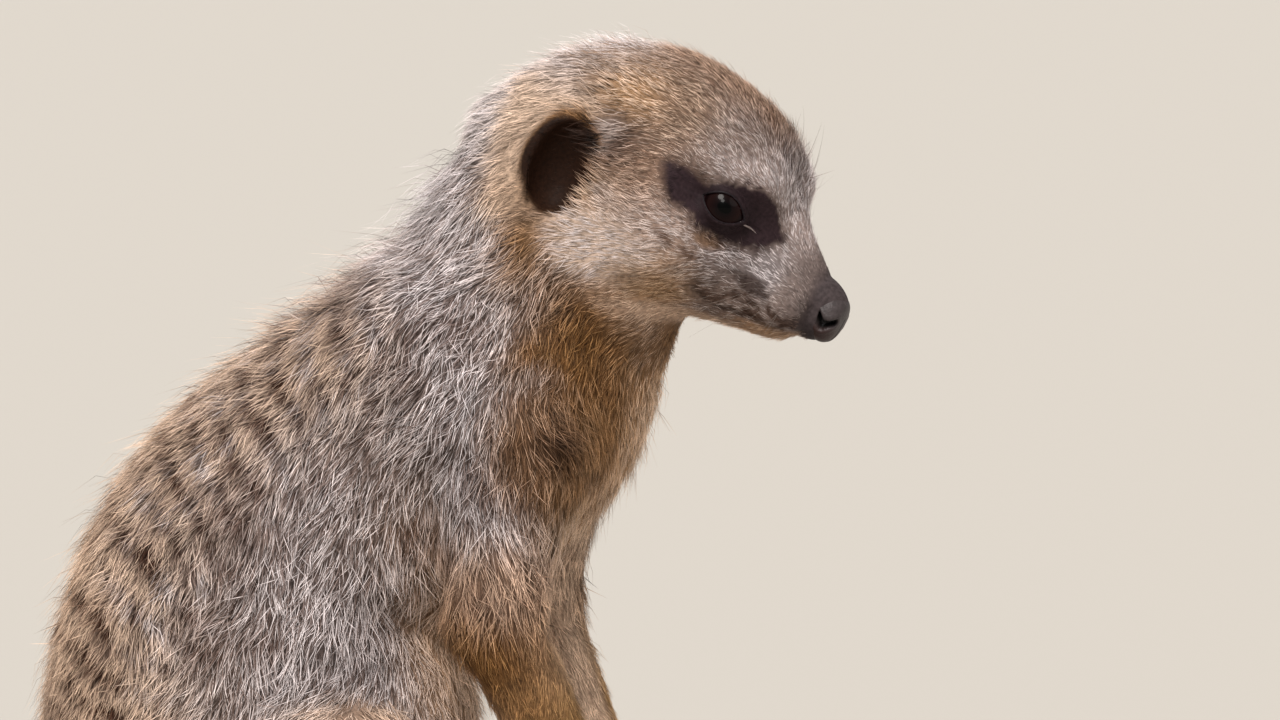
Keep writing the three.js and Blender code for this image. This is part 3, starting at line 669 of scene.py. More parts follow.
def shape_muzzle_end(skin):
    """Rounds the muzzle's end up to the nose, and sinks it under the nose's pad."""
    places = in_head(skin.points)
    way = places - MUZZLE_CENTRE
    away = size(way)
    way = unit(way)
    round_end = np.maximum(*(reach(way, MUZZLE_CENTRE, *shape) for shape in MUZZLE_SHAPES))
    proud = reach(way, MUZZLE_CENTRE, NOSE_CENTRE, NOSE_RADII) - round_end
    proud = np.where(places[:, 0] > MUZZLE_CENTRE[0], proud, 0)
    local = step(13, 16.5, places[:, 0]) * (away < 12)
    wanted = np.maximum(away, round_end)
    wanted = mix(wanted, round_end, step(19, 21, places[:, 0]))
    wanted -= 2.2 * step(0.12, 0.5, proud)
    moved = MUZZLE_CENTRE + way * wanted[:, None]
    skin.points[:] = from_head(blend(places, moved, local))


# -------- the mouth

def mouth_height(front):
    """The line of the mouth in the head's frame, up from the corner and level to the lip."""
    return -18.3 + 2.2 * step(4, -2, front) + 1.2 * step(15, 23, front)


def mouth_groove(places):
    f, l, u = places.T
    inside = step(-2.0, 0.5, f) * step(23.5, 21.5, f)
    return inside * np.exp(-((u - mouth_height(f)) / 0.42) ** 2)


def shape_mouth(skin):
    """A groove along the mouth, with a lip over it and a fuller jowl."""
    places = in_head(skin.points)
    f, l, u = places.T
    lip = step(-1, 3, f) * np.exp(-((u - mouth_height(f) - 1.3) / 1.0) ** 2)
    jowl = np.exp(-((f - 11) / 5) ** 2 - ((u + 14) / 2.5) ** 2)
    out = 0.32 * lip + 0.35 * jowl - 0.65 * mouth_groove(places)
    skin.points += skin.normals() * (out * step(-30, -24, u))[:, None]


# -------- markings

def oval(x, y, centre, radii, turn):
    """How far out a place lies in a turned oval: 1 on its edge."""
    c, s = math.cos(math.radians(turn)), math.sin(math.radians(turn))
    dx, dy = x - centre[0], y - centre[1]
    return np.hypot((dx * c + dy * s) / radii[0], (dy * c - dx * s) / radii[1])


def noise(skin, rounds, seed):
    """A smooth random field over the skin, of unit spread."""
    field = np.random.default_rng(seed).normal(size=skin.count)
    field = skin.evened(field, rounds)
    return (field - field.mean()) / field.std()


def paint(coat, mask, roots, tips, pale=None):
    coat.roots = blend(coat.roots, COLOURS[roots], mask)
    coat.tips = blend(coat.tips, COLOURS[tips], mask)
    if pale is not None:
        coat.pale = mix(coat.pale, pale, mask)


EAR_PLACE = (-31.5, -3.4)   # front and up in the head's frame
EAR_RADII = (7.8, 11.2)
SWIRL = spot("chest", 0.876, 0.04, 0.535)   # on the right side only
SPINE_CENTRE = HEAD + np.array((-39.2, 6.9, -94.4))   # of the circle that the back follows
SPINE_RADIUS = 97
BAR_SPACING = 9
BAR_PHASE = 6               # where the first bar lies on that circle


def back_bars(skin):
    """The dark bars across the back, broken into spots, from the shoulders to the tail."""
    x, y, z = (skin.points - SPINE_CENTRE).T
    around = np.arctan2(z, -x)
    inward = SPINE_RADIUS - np.hypot(x, z) + 0.25 * np.abs(y)
    wave = SPINE_RADIUS * around + 0.4 * inward - BAR_PHASE + 1.6 * noise(skin, 90, 3)
    bars = step(0.0, 0.7, np.cos(wave * 2 * math.pi / BAR_SPACING))
    broken = step(-0.9, 0.5, noise(skin, 14, 4))
    reach = step(60, 24, inward) * step(128, 100, SPINE_RADIUS * around)
    reach *= x < 20
    gaps = (1 - bars) * reach * step(62, 25, inward)
    return bars * broken * reach, gaps


# The dark patch round the eye in the head's frame: stations from back to front, its top, its foot.
PATCH_FRONT = (-12, -11, -8, -5, -2, 3, 6.2, 8.2, 10.4)
PATCH_TOP = (5.2, 5.6, 5.2, 5, 5.6, 6.1, 6.2, 4.4, -1)
PATCH_FOOT = (4.6, 2.2, -0.5, -2.6, -4.1, -5, -5.1, -4.7, -2.6)


def mark_head(skin, coat, label):
    """Pale and dark fields on the head, each laid over the ones before."""
    f, l, u = in_head(skin.points).T
    head = mask_of(skin, label, ("head", "neck", "ear", "nose", "eye"), 2)
    outer = step(12, 18, abs(l))
    fine = noise(skin, 6, 5)
    mottled = noise(skin, 14, 6)

    def blot(centre, radii, turn, low, high, ragged=0):
        """A soft oval on the head: none of it beyond low times its radii, all of it within high."""
        return head * step(low, high, oval(f, u, centre, radii, turn) + ragged)

    band = head * step(-26, -31, f) * step(-52, -45, f + 0.25 * u)
    band = band * step(14, 6, u) * step(-22, -14, u) * step(7, 13, abs(l))
    paint(coat, band * 0.9, "cream", "cream", 1.0)
    fringe = blot((-27, 3.5), (7.5, 3.6), 68, 1.15, 0.6) * outer
    paint(coat, fringe * 0.9, "taupe", "ash", 0.4)
    coat.length = mix(coat.length, 8.5, fringe)
    paint(coat, blot((-20.5, -5), (3.2, 2.6), -30, 1.2, 0.6) * outer * 0.6, "taupe", "ash", 0.8)

    grey = head * step(11, 18, f) * step(2, -5, u)
    paint(coat, grey * 0.75, "slate", "grey", 0.3)
    side = step(6, 10, abs(l))
    cheek = blot((-21, -15), (12.5, 5.8), -4, 1.45, 0.6) * side
    paint(coat, cheek * 0.85, "cream", "silver", 0.75)
    jaw = blot((-8, -18.5), (7, 3.2), -4, 1.4, 0.5) * side
    paint(coat, jaw * 0.5, "honey", "ochre", 0.6)
    paint(coat, blot((-2, -23.5), (12, 1.8), 6, 1.4, 0.6) * 0.75, "sand", "cream", 0.9)
    below = head * side * np.exp(-(oval(f, u, (-31.5, -19), (11, 5.5), -74)) ** 2)
    paint(coat, below * 0.9, "honey", "gold", 0.75)
    lip = head * step(-2.5, 1.5, f) * np.exp(-((u - mouth_height(f) - 1.0) / 2.3) ** 2)
    paint(coat, lip * step(-0.8, 1.0, mottled) * 0.8, "sepia", "bark", 0.1)
    chin = head * step(4, 12, f) * step(mouth_height(f) - 0.7, mouth_height(f) - 1.8, u)
    paint(coat, chin * 0.75, "tan", "cream", 0.5)
    muzzle_spot = blot((9.2, -11.8), (4.2, 1.9), -14, 1.25, 0.55, 0.12 * mottled)
    paint(coat, muzzle_spot * 0.8, "sepia", "slate", 0)
    pads = blot((8.5, -16), (9.5, 2.6), -2, 1.2, 0.6) * step(0.1, 1.1, fine)
    paint(coat, pads * 0.8, "sepia", "bark", 0)
    for centre in ((-6.2, -8.4), (-1.8, -9.8)):
        streak = blot(centre, (2.6, 1), -30, 1.3, 0.5, 0.15 * fine)
        paint(coat, streak * 0.65, "umber", "bark", 0.1)
    paint(coat, blot((0.4, -6), (2.6, 1.5), -10, 1.3, 0.4) * 0.6, "honey", "gold", 0.1)

    inside = np.minimum(np.interp(f, PATCH_FRONT, PATCH_TOP) - u,
                        u - np.interp(f, PATCH_FRONT, PATCH_FOOT))
    reach_of_patch = head * step(5, 7, abs(l)) * step(-14, -11.5, f) * step(12.4, 10.2, f)
    halo = reach_of_patch * step(-3.2, 0.2, inside + 0.5 * fine)
    paint(coat, halo * 0.6, "sepia", "bark", 0.25)
    patch = reach_of_patch * step(-0.9, 0.6, inside + 0.4 * fine)
    paint(coat, patch, "plum", "plum", 0.0)
    coat.length = mix(coat.length, 1.5, patch)
    coat.lift = mix(coat.lift, 7.0, patch)


def mark_body(skin, coat, label):
    """Bars on the back, dark ears, the chest's swirl, pale inner arms made paler as painted light
    where they lie in shade, and the tail's tip.
    """
    trunk = mask_of(skin, label, ("neck", "chest", "belly", "rump", "thigh", "upper"), 6)
    bars, gaps = back_bars(skin)
    paint(coat, gaps * trunk * 0.9, "taupe", "cream", 1.0)
    paint(coat, bars * trunk, "rust", "umber", 0.0)
    patchy = noise(skin, 30, 8)
    paint(coat, trunk * step(0.6, 1.8, patchy) * 0.35, "umber", "taupe", 0.2)
    places = in_head(skin.points)
    ears = mask_of(skin, label, "ear", 2)
    rim = oval(places[:, 0], places[:, 2], EAR_PLACE, EAR_RADII, 0)
    inside = ears * step(0.97, 0.84, rim)
    paint(coat, ears, "tawny", "tan", 0.5)
    paint(coat, inside, "soot", "umber", 0.0)
    coat.length = mix(coat.length, 2.2, ears)
    coat.length = mix(coat.length, 1.4, inside)
    coat.lift = mix(coat.lift, 12.0, ears)
    swirl = size(skin.points - SWIRL)
    paint(coat, step(21, 10, swirl) * 0.85, "tawny", "tan", 0.25)
    paint(coat, step(9, 4, swirl) * 0.45, "sepia", "bark", 0.3)
    paint(coat, step(4.5, 1, swirl) * 0.5, "soot", "umber", 0.0)
    around = np.cross(skin.points - SWIRL, (0, -1, 0)) / 9
    coat.way += around * step(14, 4, swirl)[:, None]
    # painted light: the inner arms' pale fur made paler still, standing in for light where the far
    # arm lies in shade
    arms = mask_of(skin, label, ("upper", "forearm"), 4)
    inward = skin.normals()[:, 1] * np.sign(spot("chest")[1] - skin.points[:, 1])
    paint(coat, arms * step(0.1, 0.7, inward) * 0.9, "sand", "cream", 1.0)
    tip = mask_of(skin, label, "tail_tip", 12)
    paint(coat, step(0.3, 0.8, tip), "soot", "sepia", 0.0)


# -------- tufts

OVERLAP = {"head": 3.6, "ear": 4.5, "neck": 6, "chest": 6.2, "belly": 6, "rump": 4.5, "thigh": 5,
           "shank": 2.4, "foot": 1, "upper_arm": 5.8, "forearm": 3.4, "hand": 1.3}
TAIL_OVERLAP = 3.2
COLOUR_SHARES = (0.5, 0.88)  # how far along a tuft its middle and its tip take their colours
DARK_HAIR_TIP = 0.22        # the share of the tips' colour in a dark hair
UNDER_SHADE = 0.4           # what the roots' colour is multiplied by at a tuft's foot
TUFT_WIDTHS = (0.08, 0.19)  # the narrowest and the broadest
ROOT_DEPTH = 0.25           # how deep a tuft starts under the skin
TUFTS_IN_WISP = 15


def overlap_of(label):
    """How many tufts lie over each other, by node."""
    parts = [n.rsplit("_", 1)[0] if n.endswith(("left", "right")) else n for n in UNDER_SKIN]
    return np.array([OVERLAP.get(p, TAIL_OVERLAP) for p in parts])[label]


class Tufts:
    """Roots spread over the skin with what the coat says at each."""

    def __init__(self, skin, coat, label, bare, count):
        self.random = np.random.default_rng(SEED)
        width = np.clip(0.07 + 0.013 * coat.length, *TUFT_WIDTHS)
        density = overlap_of(label) / (coat.length * width) * (1 - bare)
        density *= np.where(skin.points[:, 2] < 0.6, 0.0, 1.0)
        a, b, c = (skin.points[skin.triangles[:, k]] for k in range(3))
        area = size(np.cross(b - a, c - a)) / 2
        load = area * density[skin.triangles].mean(1)
        chosen = np.searchsorted(np.cumsum(load / load.sum()), self.random.random(count))
        chosen = np.minimum(chosen, len(load) - 1)
        self.triangle = chosen
        r = np.sqrt(self.random.random(count))
        s = self.random.random(count)
        self.shares = np.stack([1 - r, r * (1 - s), r * s], 1)
        self.index = skin.triangles[chosen]
        self.count = count
        self.root = self.at(skin.points)
        self.normal = unit(self.at(skin.normals()))
        self.length = self.at(coat.length)
        self.lift = self.at(coat.lift)
        self.width = self.at(width)
        self.label = label[self.index[:, 0]]
        way = self.at(coat.way)
        way -= self.normal * dot(way, self.normal)[:, None]
        self.way = unit(way)
        drift = self.at(noise(skin, 30, 11)) * 10
        self.turned(drift + self.random.normal(size=count) * (9 + self.length))
        self.colour_from(coat, skin)

    def colour_from(self, coat, skin):
        """Takes the coat's colours from where each tuft's middle and tip lie: markings stay crisp."""
        self.colours = []
        for share in COLOUR_SHARES:
            places = self.root + self.way * (self.length * share)[:, None]
            nearest = nearest_of(skin.points, places)
            self.colours.append((coat.pale[nearest], coat.roots[nearest], coat.tips[nearest]))

    def at(self, field):
        values = field[self.index]
        shares = self.shares if values.ndim == 2 else self.shares[..., None]
        return (values * shares).sum(1)

    def turned(self, degrees):
        """Turns each tuft's way about its normal."""
        angle = np.radians(degrees)[:, None]
        side = np.cross(self.normal, self.way)
        self.way = self.way * np.cos(angle) + side * np.sin(angle)

    def grow(self):
        """Middles and tips of the tufts, drawn together in wisps."""
        random, count = self.random, self.count
        length = self.length * np.clip(random.normal(1.0, 0.2, count), 0.5, 1.5)
        lift = np.radians(self.lift * np.clip(random.normal(1.0, 0.35, count), 0.2, 2.2))
        guard = random.random(count) < GUARD_SHARE
        length *= np.where(guard, 1.1 + 0.012 * self.lift, 1)
        lift *= np.where(guard, 1.5, 1)
        self.width *= np.where(guard, 0.75, 1)
        late = lift * random.uniform(0.0, 0.8, count)
        base = self.root - self.normal * ROOT_DEPTH
        middle = base + self.stretch(length * 0.45, lift)
        self.turned(random.normal(size=count) * (6 + self.length))
        tip = middle + self.stretch(length * 0.55, late)
        seeds = random.choice(count, max(count // TUFTS_IN_WISP, 1), replace=False)
        owner = seeds[nearest_of(self.root[seeds], self.root)]
        pull = random.uniform(0.1, 0.65, count) * (dot(self.way, self.way[owner]) > 0.6)
        tip += (tip[owner] - tip) * (pull * np.clip(self.length / 4, 0.4, 1))[:, None]
        middle += (middle[owner] - middle) * (pull * 0.25)[:, None]
        tone = random.normal(0, 0.18, count) + 0.2 * random.normal(size=count)[owner]
        self.tone = np.exp(np.clip(tone, -0.5, 0.32))
        self.base, self.middle, self.tip = base, middle, tip

    def stretch(self, length, lift):
        way = self.way * np.cos(lift)[:, None] + self.normal * np.sin(lift)[:, None]
        return way * length[:, None]


# A tuft's triangles, and the places of its five points in its patch, in patch sides.
CORNERS = np.array([[0, 2, 1], [0, 3, 2], [0, 1, 3], [4, 1, 2], [4, 2, 3], [4, 3, 1]])
PATCH_PLACES = np.array([[0.5, 0.0], [0.0, 0.45], [0.5, 0.6], [1.0, 0.45], [0.5, 1.0]]) - 0.5


def coat_piece(name, tufts, chosen, uv, material):
    """One mesh of closed tufts: a root, two sides and a ridge in the middle, and a tip."""
    along = unit(tufts.tip[chosen] - tufts.base[chosen])
    side = unit(np.cross(along, tufts.normal[chosen]))
    out = np.cross(side, along)
    half = (tufts.width[chosen] / 2)[:, None]
    middle = tufts.middle[chosen]
    points = np.stack([tufts.base[chosen], middle - side * half, middle + out * half * 0.7,
                       middle + side * half, tufts.tip[chosen]], 1)
    points[..., 2] = np.maximum(points[..., 2], FLOOR_CLEARANCE)
    count = len(chosen)
    faces = (np.arange(count)[:, None, None] * 5 + CORNERS[None]).reshape(-1, 3)
    mesh = mesh_of(name, points.reshape(-1, 3), faces)
    normals = np.stack([out, unit(out - side * 0.9), out, unit(out + side * 0.9), out], 1)
    normals = unit(normals * 0.6 + tufts.normal[chosen][:, None] * 0.4)
    random = tufts.random
    draw = random.random(count)
    tone = tufts.tone[chosen][:, None]
    middle_colour, tip_colour = (
        np.where((draw < pale[chosen])[:, None], tips[chosen],
                 mix(roots[chosen], tips[chosen], DARK_HAIR_TIP)) * tone
        for pale, roots, tips in tufts.colours)
    colour_attribute(mesh, "coat", np.stack([middle_colour] * 4 + [tip_colour], 1).reshape(-1, 3))
    under = tufts.colours[0][1][chosen] * tone * UNDER_SHADE
    colour_attribute(mesh, "under", np.repeat(under, 5, axis=0))
    number_attribute(mesh, "along", np.tile([0, 0.45, 0.45, 0.45, 1.0], count))
    number_attribute(mesh, "lock", np.repeat(random.random(count), 5))
    layer = mesh.uv_layers.new(name="OFBake")
    corners_uv = uv[chosen][:, None, :] + PATCH_PLACES[None] * PATCH
    layer.data.foreach_set("uv", corners_uv.reshape(-1, 2)[faces.ravel()].astype(np.float32).ravel())
    mesh.normals_split_custom_set_from_vertices(normals.reshape(-1, 3).tolist())
    add_piece(name, mesh, material)


# -------- materials

class Look:
    """A node material, with short ways to add nodes and to join them."""

    def __init__(self, name, roughness, specular):
        self.material = bpy.data.materials.new(name)
        self.material.use_nodes = True
        self.tree = self.material.node_tree
        self.shader = self.tree.nodes["Principled BSDF"]
        self.shader.inputs["Roughness"].default_value = roughness
        self.shader.inputs["Specular IOR Level"].default_value = specular

    def node(self, kind, **inputs):
        """A new node; each input is linked to another node's output, or set to a value."""
        node = self.tree.nodes.new("ShaderNode" + kind)
        for name, value in inputs.items():
            self.put(value, node.inputs[name])
        return node

    def put(self, value, socket):
        if isinstance(value, bpy.types.NodeSocket):
            self.tree.links.new(value, socket)
        else:
            socket.default_value = value

    def attribute(self, name, output="Fac"):
        node = self.node("Attribute")
        node.attribute_name = name
        return node.outputs[output]

    def ramp(self, value, *stops):
        """Colours or greys from a value, between stops of a place and a colour or a grey."""
        node = self.node("ValToRGB", Fac=value)
        while len(node.color_ramp.elements) < len(stops):
            node.color_ramp.elements.new(0.5)
        for element, (place, colour) in zip(node.color_ramp.elements, stops):
            element.position = place
            element.color = (*colour, 1) if np.ndim(colour) else (colour, colour, colour, 1)
        return node.outputs["Color"]

    def mixed(self, a, b, factor, way="MIX"):
        node = self.node("Mix")
        node.data_type = "RGBA"
        node.blend_type = way
        for name, value in (("Factor", factor), ("A", a), ("B", b)):
            self.put(value, node.inputs[name])
        return node.outputs["Result"]

    def texture(self, kind, scale, output, **inputs):
        """A texture in the piece's own space."""
        place = self.node("TexCoord").outputs["Object"]
        return self.node("Tex" + kind, Vector=place, Scale=scale, **inputs).outputs[output]

    def bump(self, height, strength, distance):
        node = self.node("Bump", Height=height, Strength=strength, Distance=distance)
        self.put(node.outputs["Normal"], self.shader.inputs["Normal"])

    def colour(self, colour, tones=None):
        """Sets the base colour, times the tones where there are some."""
        if tones is not None:
            colour = self.mixed(colour, tones, 1, "MULTIPLY")
        self.put(colour, self.shader.inputs["Base Color"])


def fur_material():
    """Dark at the root, pale from the middle on, with a fine grain and some dark tips."""
    look = Look("fur", 0.5, 0.14)
    under, along = look.attribute("under", "Color"), look.attribute("along")
    rise = look.ramp(along, (0, 0), (0.3, 0.08), (0.68, 1))
    hair = look.mixed(under, look.attribute("coat", "Color"), rise)
    ticked = look.node("Math")
    ticked.operation = "MULTIPLY"
    look.put(look.ramp(along, (0.82, 0), (0.97, 1)), ticked.inputs[0])
    look.put(look.ramp(look.attribute("lock"), (0.68, 0), (0.72, 0.75)), ticked.inputs[1])
    tipped = look.mixed(hair, under, ticked.outputs["Value"])
    grain = look.texture("Noise", 900, "Fac", Detail=3)
    look.colour(tipped, look.ramp(grain, (0.3, 0.8), (0.7, 1.2)))
    return look.material


def skin_material():
    look = Look("skin", 0.6, 0.07)
    grain = look.texture("Noise", 1400, "Fac", Detail=4)
    look.colour(look.attribute("coat", "Color"), look.ramp(grain, (0.3, 0.7), (0.7, 1.25)))
    look.bump(grain, 0.5, 0.0002)
    return look.material


def eye_material():
    """Pupil, iris and rim by how far they lie from the eye's axis, under a wet coat."""
    look = Look("eye", 0.3, 0.02)
    for name, value in (("Coat Weight", 1), ("Coat IOR", 1.16), ("Coat Roughness", 0.07)):
        look.shader.inputs[name].default_value = value
    iris = look.ramp(look.attribute("polar"), (0.15, linear("0a0405")), (0.36, linear("190908")),
                     (0.48, linear("090405")), (0.58, linear("2c181b")))
    look.colour(iris, look.ramp(look.attribute("pupil"), (0.85, 0), (1, 1)))
    return look.material


def nose_material():
    """Leathery, darker and warmer below as painted shade, with painted shade darkening the nostrils
    and the groove.
    """
    look = Look("nose", 0.45, 0.25)
    tones = look.ramp(look.texture("Noise", 1500, "Fac", Detail=3),
                      (0.35, COLOURS["nose"] * 0.65), (0.65, COLOURS["nose"] * 1.05))
    # painted shade: the pad darker and warmer on its underside
    painted_shade_below = look.mixed(tones, (*linear("30201f"), 1), look.attribute("low"))
    # painted shade: near black in the nostrils, darker along the groove
    look.colour(painted_shade_below, look.ramp(look.attribute("hole"), (0, 1), (0.6, 0.04)))
    look.bump(look.texture("Voronoi", 3200, "Distance"), 0.5, 0.0001)
    return look.material


def plain_material(name, dark, light, roughness, scale=2500, bump_height=0, specular=0.4):
    look = Look(name, roughness, specular)
    grain = look.texture("Noise", scale, "Fac", Detail=4)
    look.colour(look.ramp(grain, (0.35, linear(dark)), (0.65, linear(light))))
    if bump_height:
        look.bump(grain, 0.6, bump_height)
    return look.material


# -------- the animal

def build_skin():
    """The skin as a mesh and as points, with the coat and the nearest node at each point."""
    mesh, tree, owner = union_of_solids()
    skin = surface_of(mesh)
    skin.even(SKIN_EVENING)
    set_points(mesh, skin.points)
    refine(mesh, (on_face, on_eyes_or_muzzle))
    skin = surface_of(mesh)
    skin.even(6)
    label = nearest_nodes(skin.points, tree, owner)
    coat = Coat(skin, label)
    mark_head(skin, coat, label)
    mark_body(skin, coat, label)
    skin.points -= skin.normals() * coat.depth()[:, None]
    skin.even(3)
    shape_mouth(skin)
    shape_muzzle_end(skin)
    shape_lids(skin)
    skin.points[:, 2] = np.maximum(skin.points[:, 2], 0)
    set_points(mesh, skin.points)
    mesh.polygons.foreach_set("use_smooth", np.ones(len(mesh.polygons), bool))
    mesh.update()
    return mesh, skin, coat, label


def bare_places(skin, label):
    """Where no hair grows: the nose, the muzzle's end and the lids' edges."""
    bare = mask_of(skin, label, ("nose", "eye"), 1)
    f, l, u = in_head(skin.points).T
    bare = np.maximum(bare, step(19.4, 21.2, f + 0.2 * (u + 12)))
    for side in SIDES:
        share, _ = opening_share(skin.points, side)
        close = size(skin.points - EYE[side]) < EYE_RADIUS + 5
        bare = np.where(close, step(1.28, 1.1, share), bare)
    return bare


def unwrap(mesh):
    """An unwrap of the skin's own shape, which its tufts share."""
    skin_object = added("unwrap", mesh)
    bpy.context.view_layer.objects.active = skin_object
    skin_object.select_set(True)
    mesh.uv_layers.new(name="OFBake")
    bpy.ops.object.mode_set(mode="EDIT")
    bpy.ops.mesh.select_all(action="SELECT")
    bpy.ops.uv.smart_project(angle_limit=math.radians(70), island_margin=0.002)
    bpy.ops.object.mode_set(mode="OBJECT")
    bpy.data.objects.remove(skin_object)


def skin_colours(skin, coat):
    """The coat's own colours, darker, partly for the dark underfur and partly as painted shade under
    the tufts; a bare dark muzzle end with painted shade below, and dark lids.
    """
    places = in_head(skin.points)
    muzzle = step(17.5, 20.5, places[:, 0])
    # painted shade: the coat's colours darkened where the skin lies under the tufts, on top of the
    # darker underfur
    colours = blend(coat.roots * 0.5 + coat.tips * 0.15, COLOURS["nose"], muzzle)
    # painted shade: the muzzle's end darker on its underside
    colours *= mix(1, 0.7, muzzle * step(-12, -17, places[:, 2]))[:, None]
    for side in SIDES:
        lids = step(EYE_RADIUS + 3, EYE_RADIUS + 0.5, size(skin.points - EYE[side]))
        colours *= mix(1, 0.7, lids)[:, None]
    return colours


REGIONS = {"head": ("head", "ear", "eye", "nose"), "neck": ("neck",), "trunk": ("chest", "belly"),
           "hindquarters": ("rump", "thigh", "shank", "foot", "tail"),
           "arms": ("upper", "forearm", "hand")}


def build_coat(tufts, mesh):
    """The coat's pieces by region; each tuft's patch lies where its root does on the unwrap."""
    mesh.calc_loop_triangles()
    loops = read(mesh.loop_triangles, "loops", np.int32, 3)
    skin_uv = read(mesh.uv_layers["OFBake"].data, "uv", np.float32, 2)
    root_uv = (skin_uv[loops[tufts.triangle]] * tufts.shares[..., None]).sum(1)
    root_uv = np.clip(root_uv, PATCH, 1 - PATCH)
    fur = fur_material()
    for region, prefixes in REGIONS.items():
        in_region = np.array([n.startswith(prefixes) for n in UNDER_SKIN])[tufts.label]
        members = np.nonzero(in_region)[0]
        parts = max(1, math.ceil(len(members) / PIECE_TUFTS))
        for number, chosen in enumerate(np.array_split(members, parts), 1):
            coat_piece(f"coat_{region}_{number}", tufts, chosen, root_uv, fur)


skin_mesh, skin, coat, label = build_skin()
unwrap(skin_mesh)
colour_attribute(skin_mesh, "coat", skin_colours(skin, coat))
add_piece("skin", skin_mesh, skin_material(), FLESH)
tufts = Tufts(skin, coat, label, bare_places(skin, label), TUFTS)
tufts.grow()
build_coat(tufts, skin_mesh)

# -------- eyes, nose and claws

EYE_RINGS, EYE_AROUND = 48, 64
CORNEA = 0.25               # how far the clear front of the eye bulges
PUPIL = (15, 11)            # half angles of the pupil, along and across, in degrees


def eye_way(side, x, y):
    """The way from the eye's centre at x degrees along the opening and y across it."""
    ahead, along, across = eye_axes(side)
    x, y = (np.tan(np.radians(v))[..., None] for v in (x, y))
    return unit(ahead + along * x + across * y)


def build_eye(side, material):
    ahead, along, across = eye_axes(side)
    if SIDES[side] > 0:
        across = -across
    theta, phi = ball_angles(EYE_RINGS, EYE_AROUND)
    sideways = along * np.cos(phi)[:, None] + across * np.sin(phi)[:, None]
    way = ahead * np.cos(theta)[:, None] + sideways * np.sin(theta)[:, None]
    radius = EYE_RADIUS + CORNEA * np.exp(-(np.degrees(theta) / 30) ** 2)
    points = EYE[side] + way * radius[:, None]
    mesh = mesh_of("eye_" + side, points, stack_faces(EYE_RINGS, EYE_AROUND))
    number_attribute(mesh, "polar", theta / math.radians(90))
    x, y = (np.degrees(np.arctan2(way @ axis, way @ ahead)) for axis in (along, across))
    number_attribute(mesh, "pupil", np.hypot(x / PUPIL[0], y / PUPIL[1]))
    add_piece("eyeball_" + side, mesh, material, ["eye_" + side])


RIM_RINGS, RIM_AROUND = 96, 8


def build_lid_rim(side, material):
    """The moist edge of the lids, all round the opening."""
    turn = np.linspace(0, 2 * math.pi, RIM_RINGS + 1)[:-1]
    x = EYE_OPENING[0] * np.cos(turn)
    y = EYE_OPENING[1] * np.sign(np.sin(turn)) * np.abs(np.sin(turn)) ** ALMOND
    y -= EYE_BOW * np.cos(turn) ** 2
    way = eye_way(side, x, y)
    line = EYE[side] + way * (EYE_RADIUS + 0.3)
    along = unit(np.roll(line, -1, 0) - np.roll(line, 1, 0))
    inward = np.cross(along, way)
    k = np.arange(RIM_AROUND) * 2 * math.pi / RIM_AROUND
    ring = way[:, None] * np.cos(k)[:, None] + inward[:, None] * np.sin(k)[:, None]
    thick = 0.2 + 0.05 * np.sin(turn) + 0.04 * np.sin(3 * turn + 1)
    points = line[:, None] + ring * thick[:, None, None]
    i, j = np.meshgrid(np.arange(RIM_RINGS), np.arange(RIM_AROUND), indexing="ij")
    here, ahead, beside = i * RIM_AROUND, (i + 1) % RIM_RINGS * RIM_AROUND, (j + 1) % RIM_AROUND
    faces = np.stack([here + j, here + beside, ahead + beside, ahead + j], -1).reshape(-1, 4)
    add_piece("lid_rim_" + side, mesh_of("lid_rim", points.reshape(-1, 3), faces), material)


TEAR_START = np.array((3.0, -0.3))   # front and up in the head's frame
TEAR_END = np.array((6.4, -2.3))
TEAR_RINGS, TEAR_AROUND = 12, 8


def on_skin(tree, front, up, sign):
    """The place on the skin's side at that front and up of the head's frame."""
    start = from_head((front, 40 * sign, up))
    return np.array(tree.ray_cast(start.tolist(), head_way(0, -sign, 0).tolist())[0])


def build_tear(side, tree, material):
    """The wet groove that runs down from the eye's front corner."""
    places = [mix(TEAR_START, TEAR_END, share) for share in np.linspace(0, 1, TEAR_RINGS)]
    line = np.array([on_skin(tree, front, up, SIDES[side]) for front, up in places])
    for _ in range(3):
        line[1:-1] = (line[:-2] + line[1:-1] + line[2:]) / 3
    radii = 0.2 * np.sin(np.linspace(0.2, 1, TEAR_RINGS) * math.pi) + 0.03
    mesh = mesh_of("tear", tube(line, radii, TEAR_AROUND), stack_faces(TEAR_RINGS, TEAR_AROUND))
    add_piece("tear_" + side, mesh, material)


NOSE_RINGS, NOSE_AROUND = 80, 112
NOSTRIL = np.array(((3.0, 2.9, -0.2), (0.5, 4.3, -1.3), (-1.5, 4.5, 1.0)))   # from the nose's centre
NOSTRIL_WIDTHS = (0.8, 1.0, 0.5)
NOSE_FACE = 2.7             # where the nose's flat front lies before its centre
NOSE_EASE = 0.6             # how gently the flat front runs into the round
NOSE_LIFT = 0.4


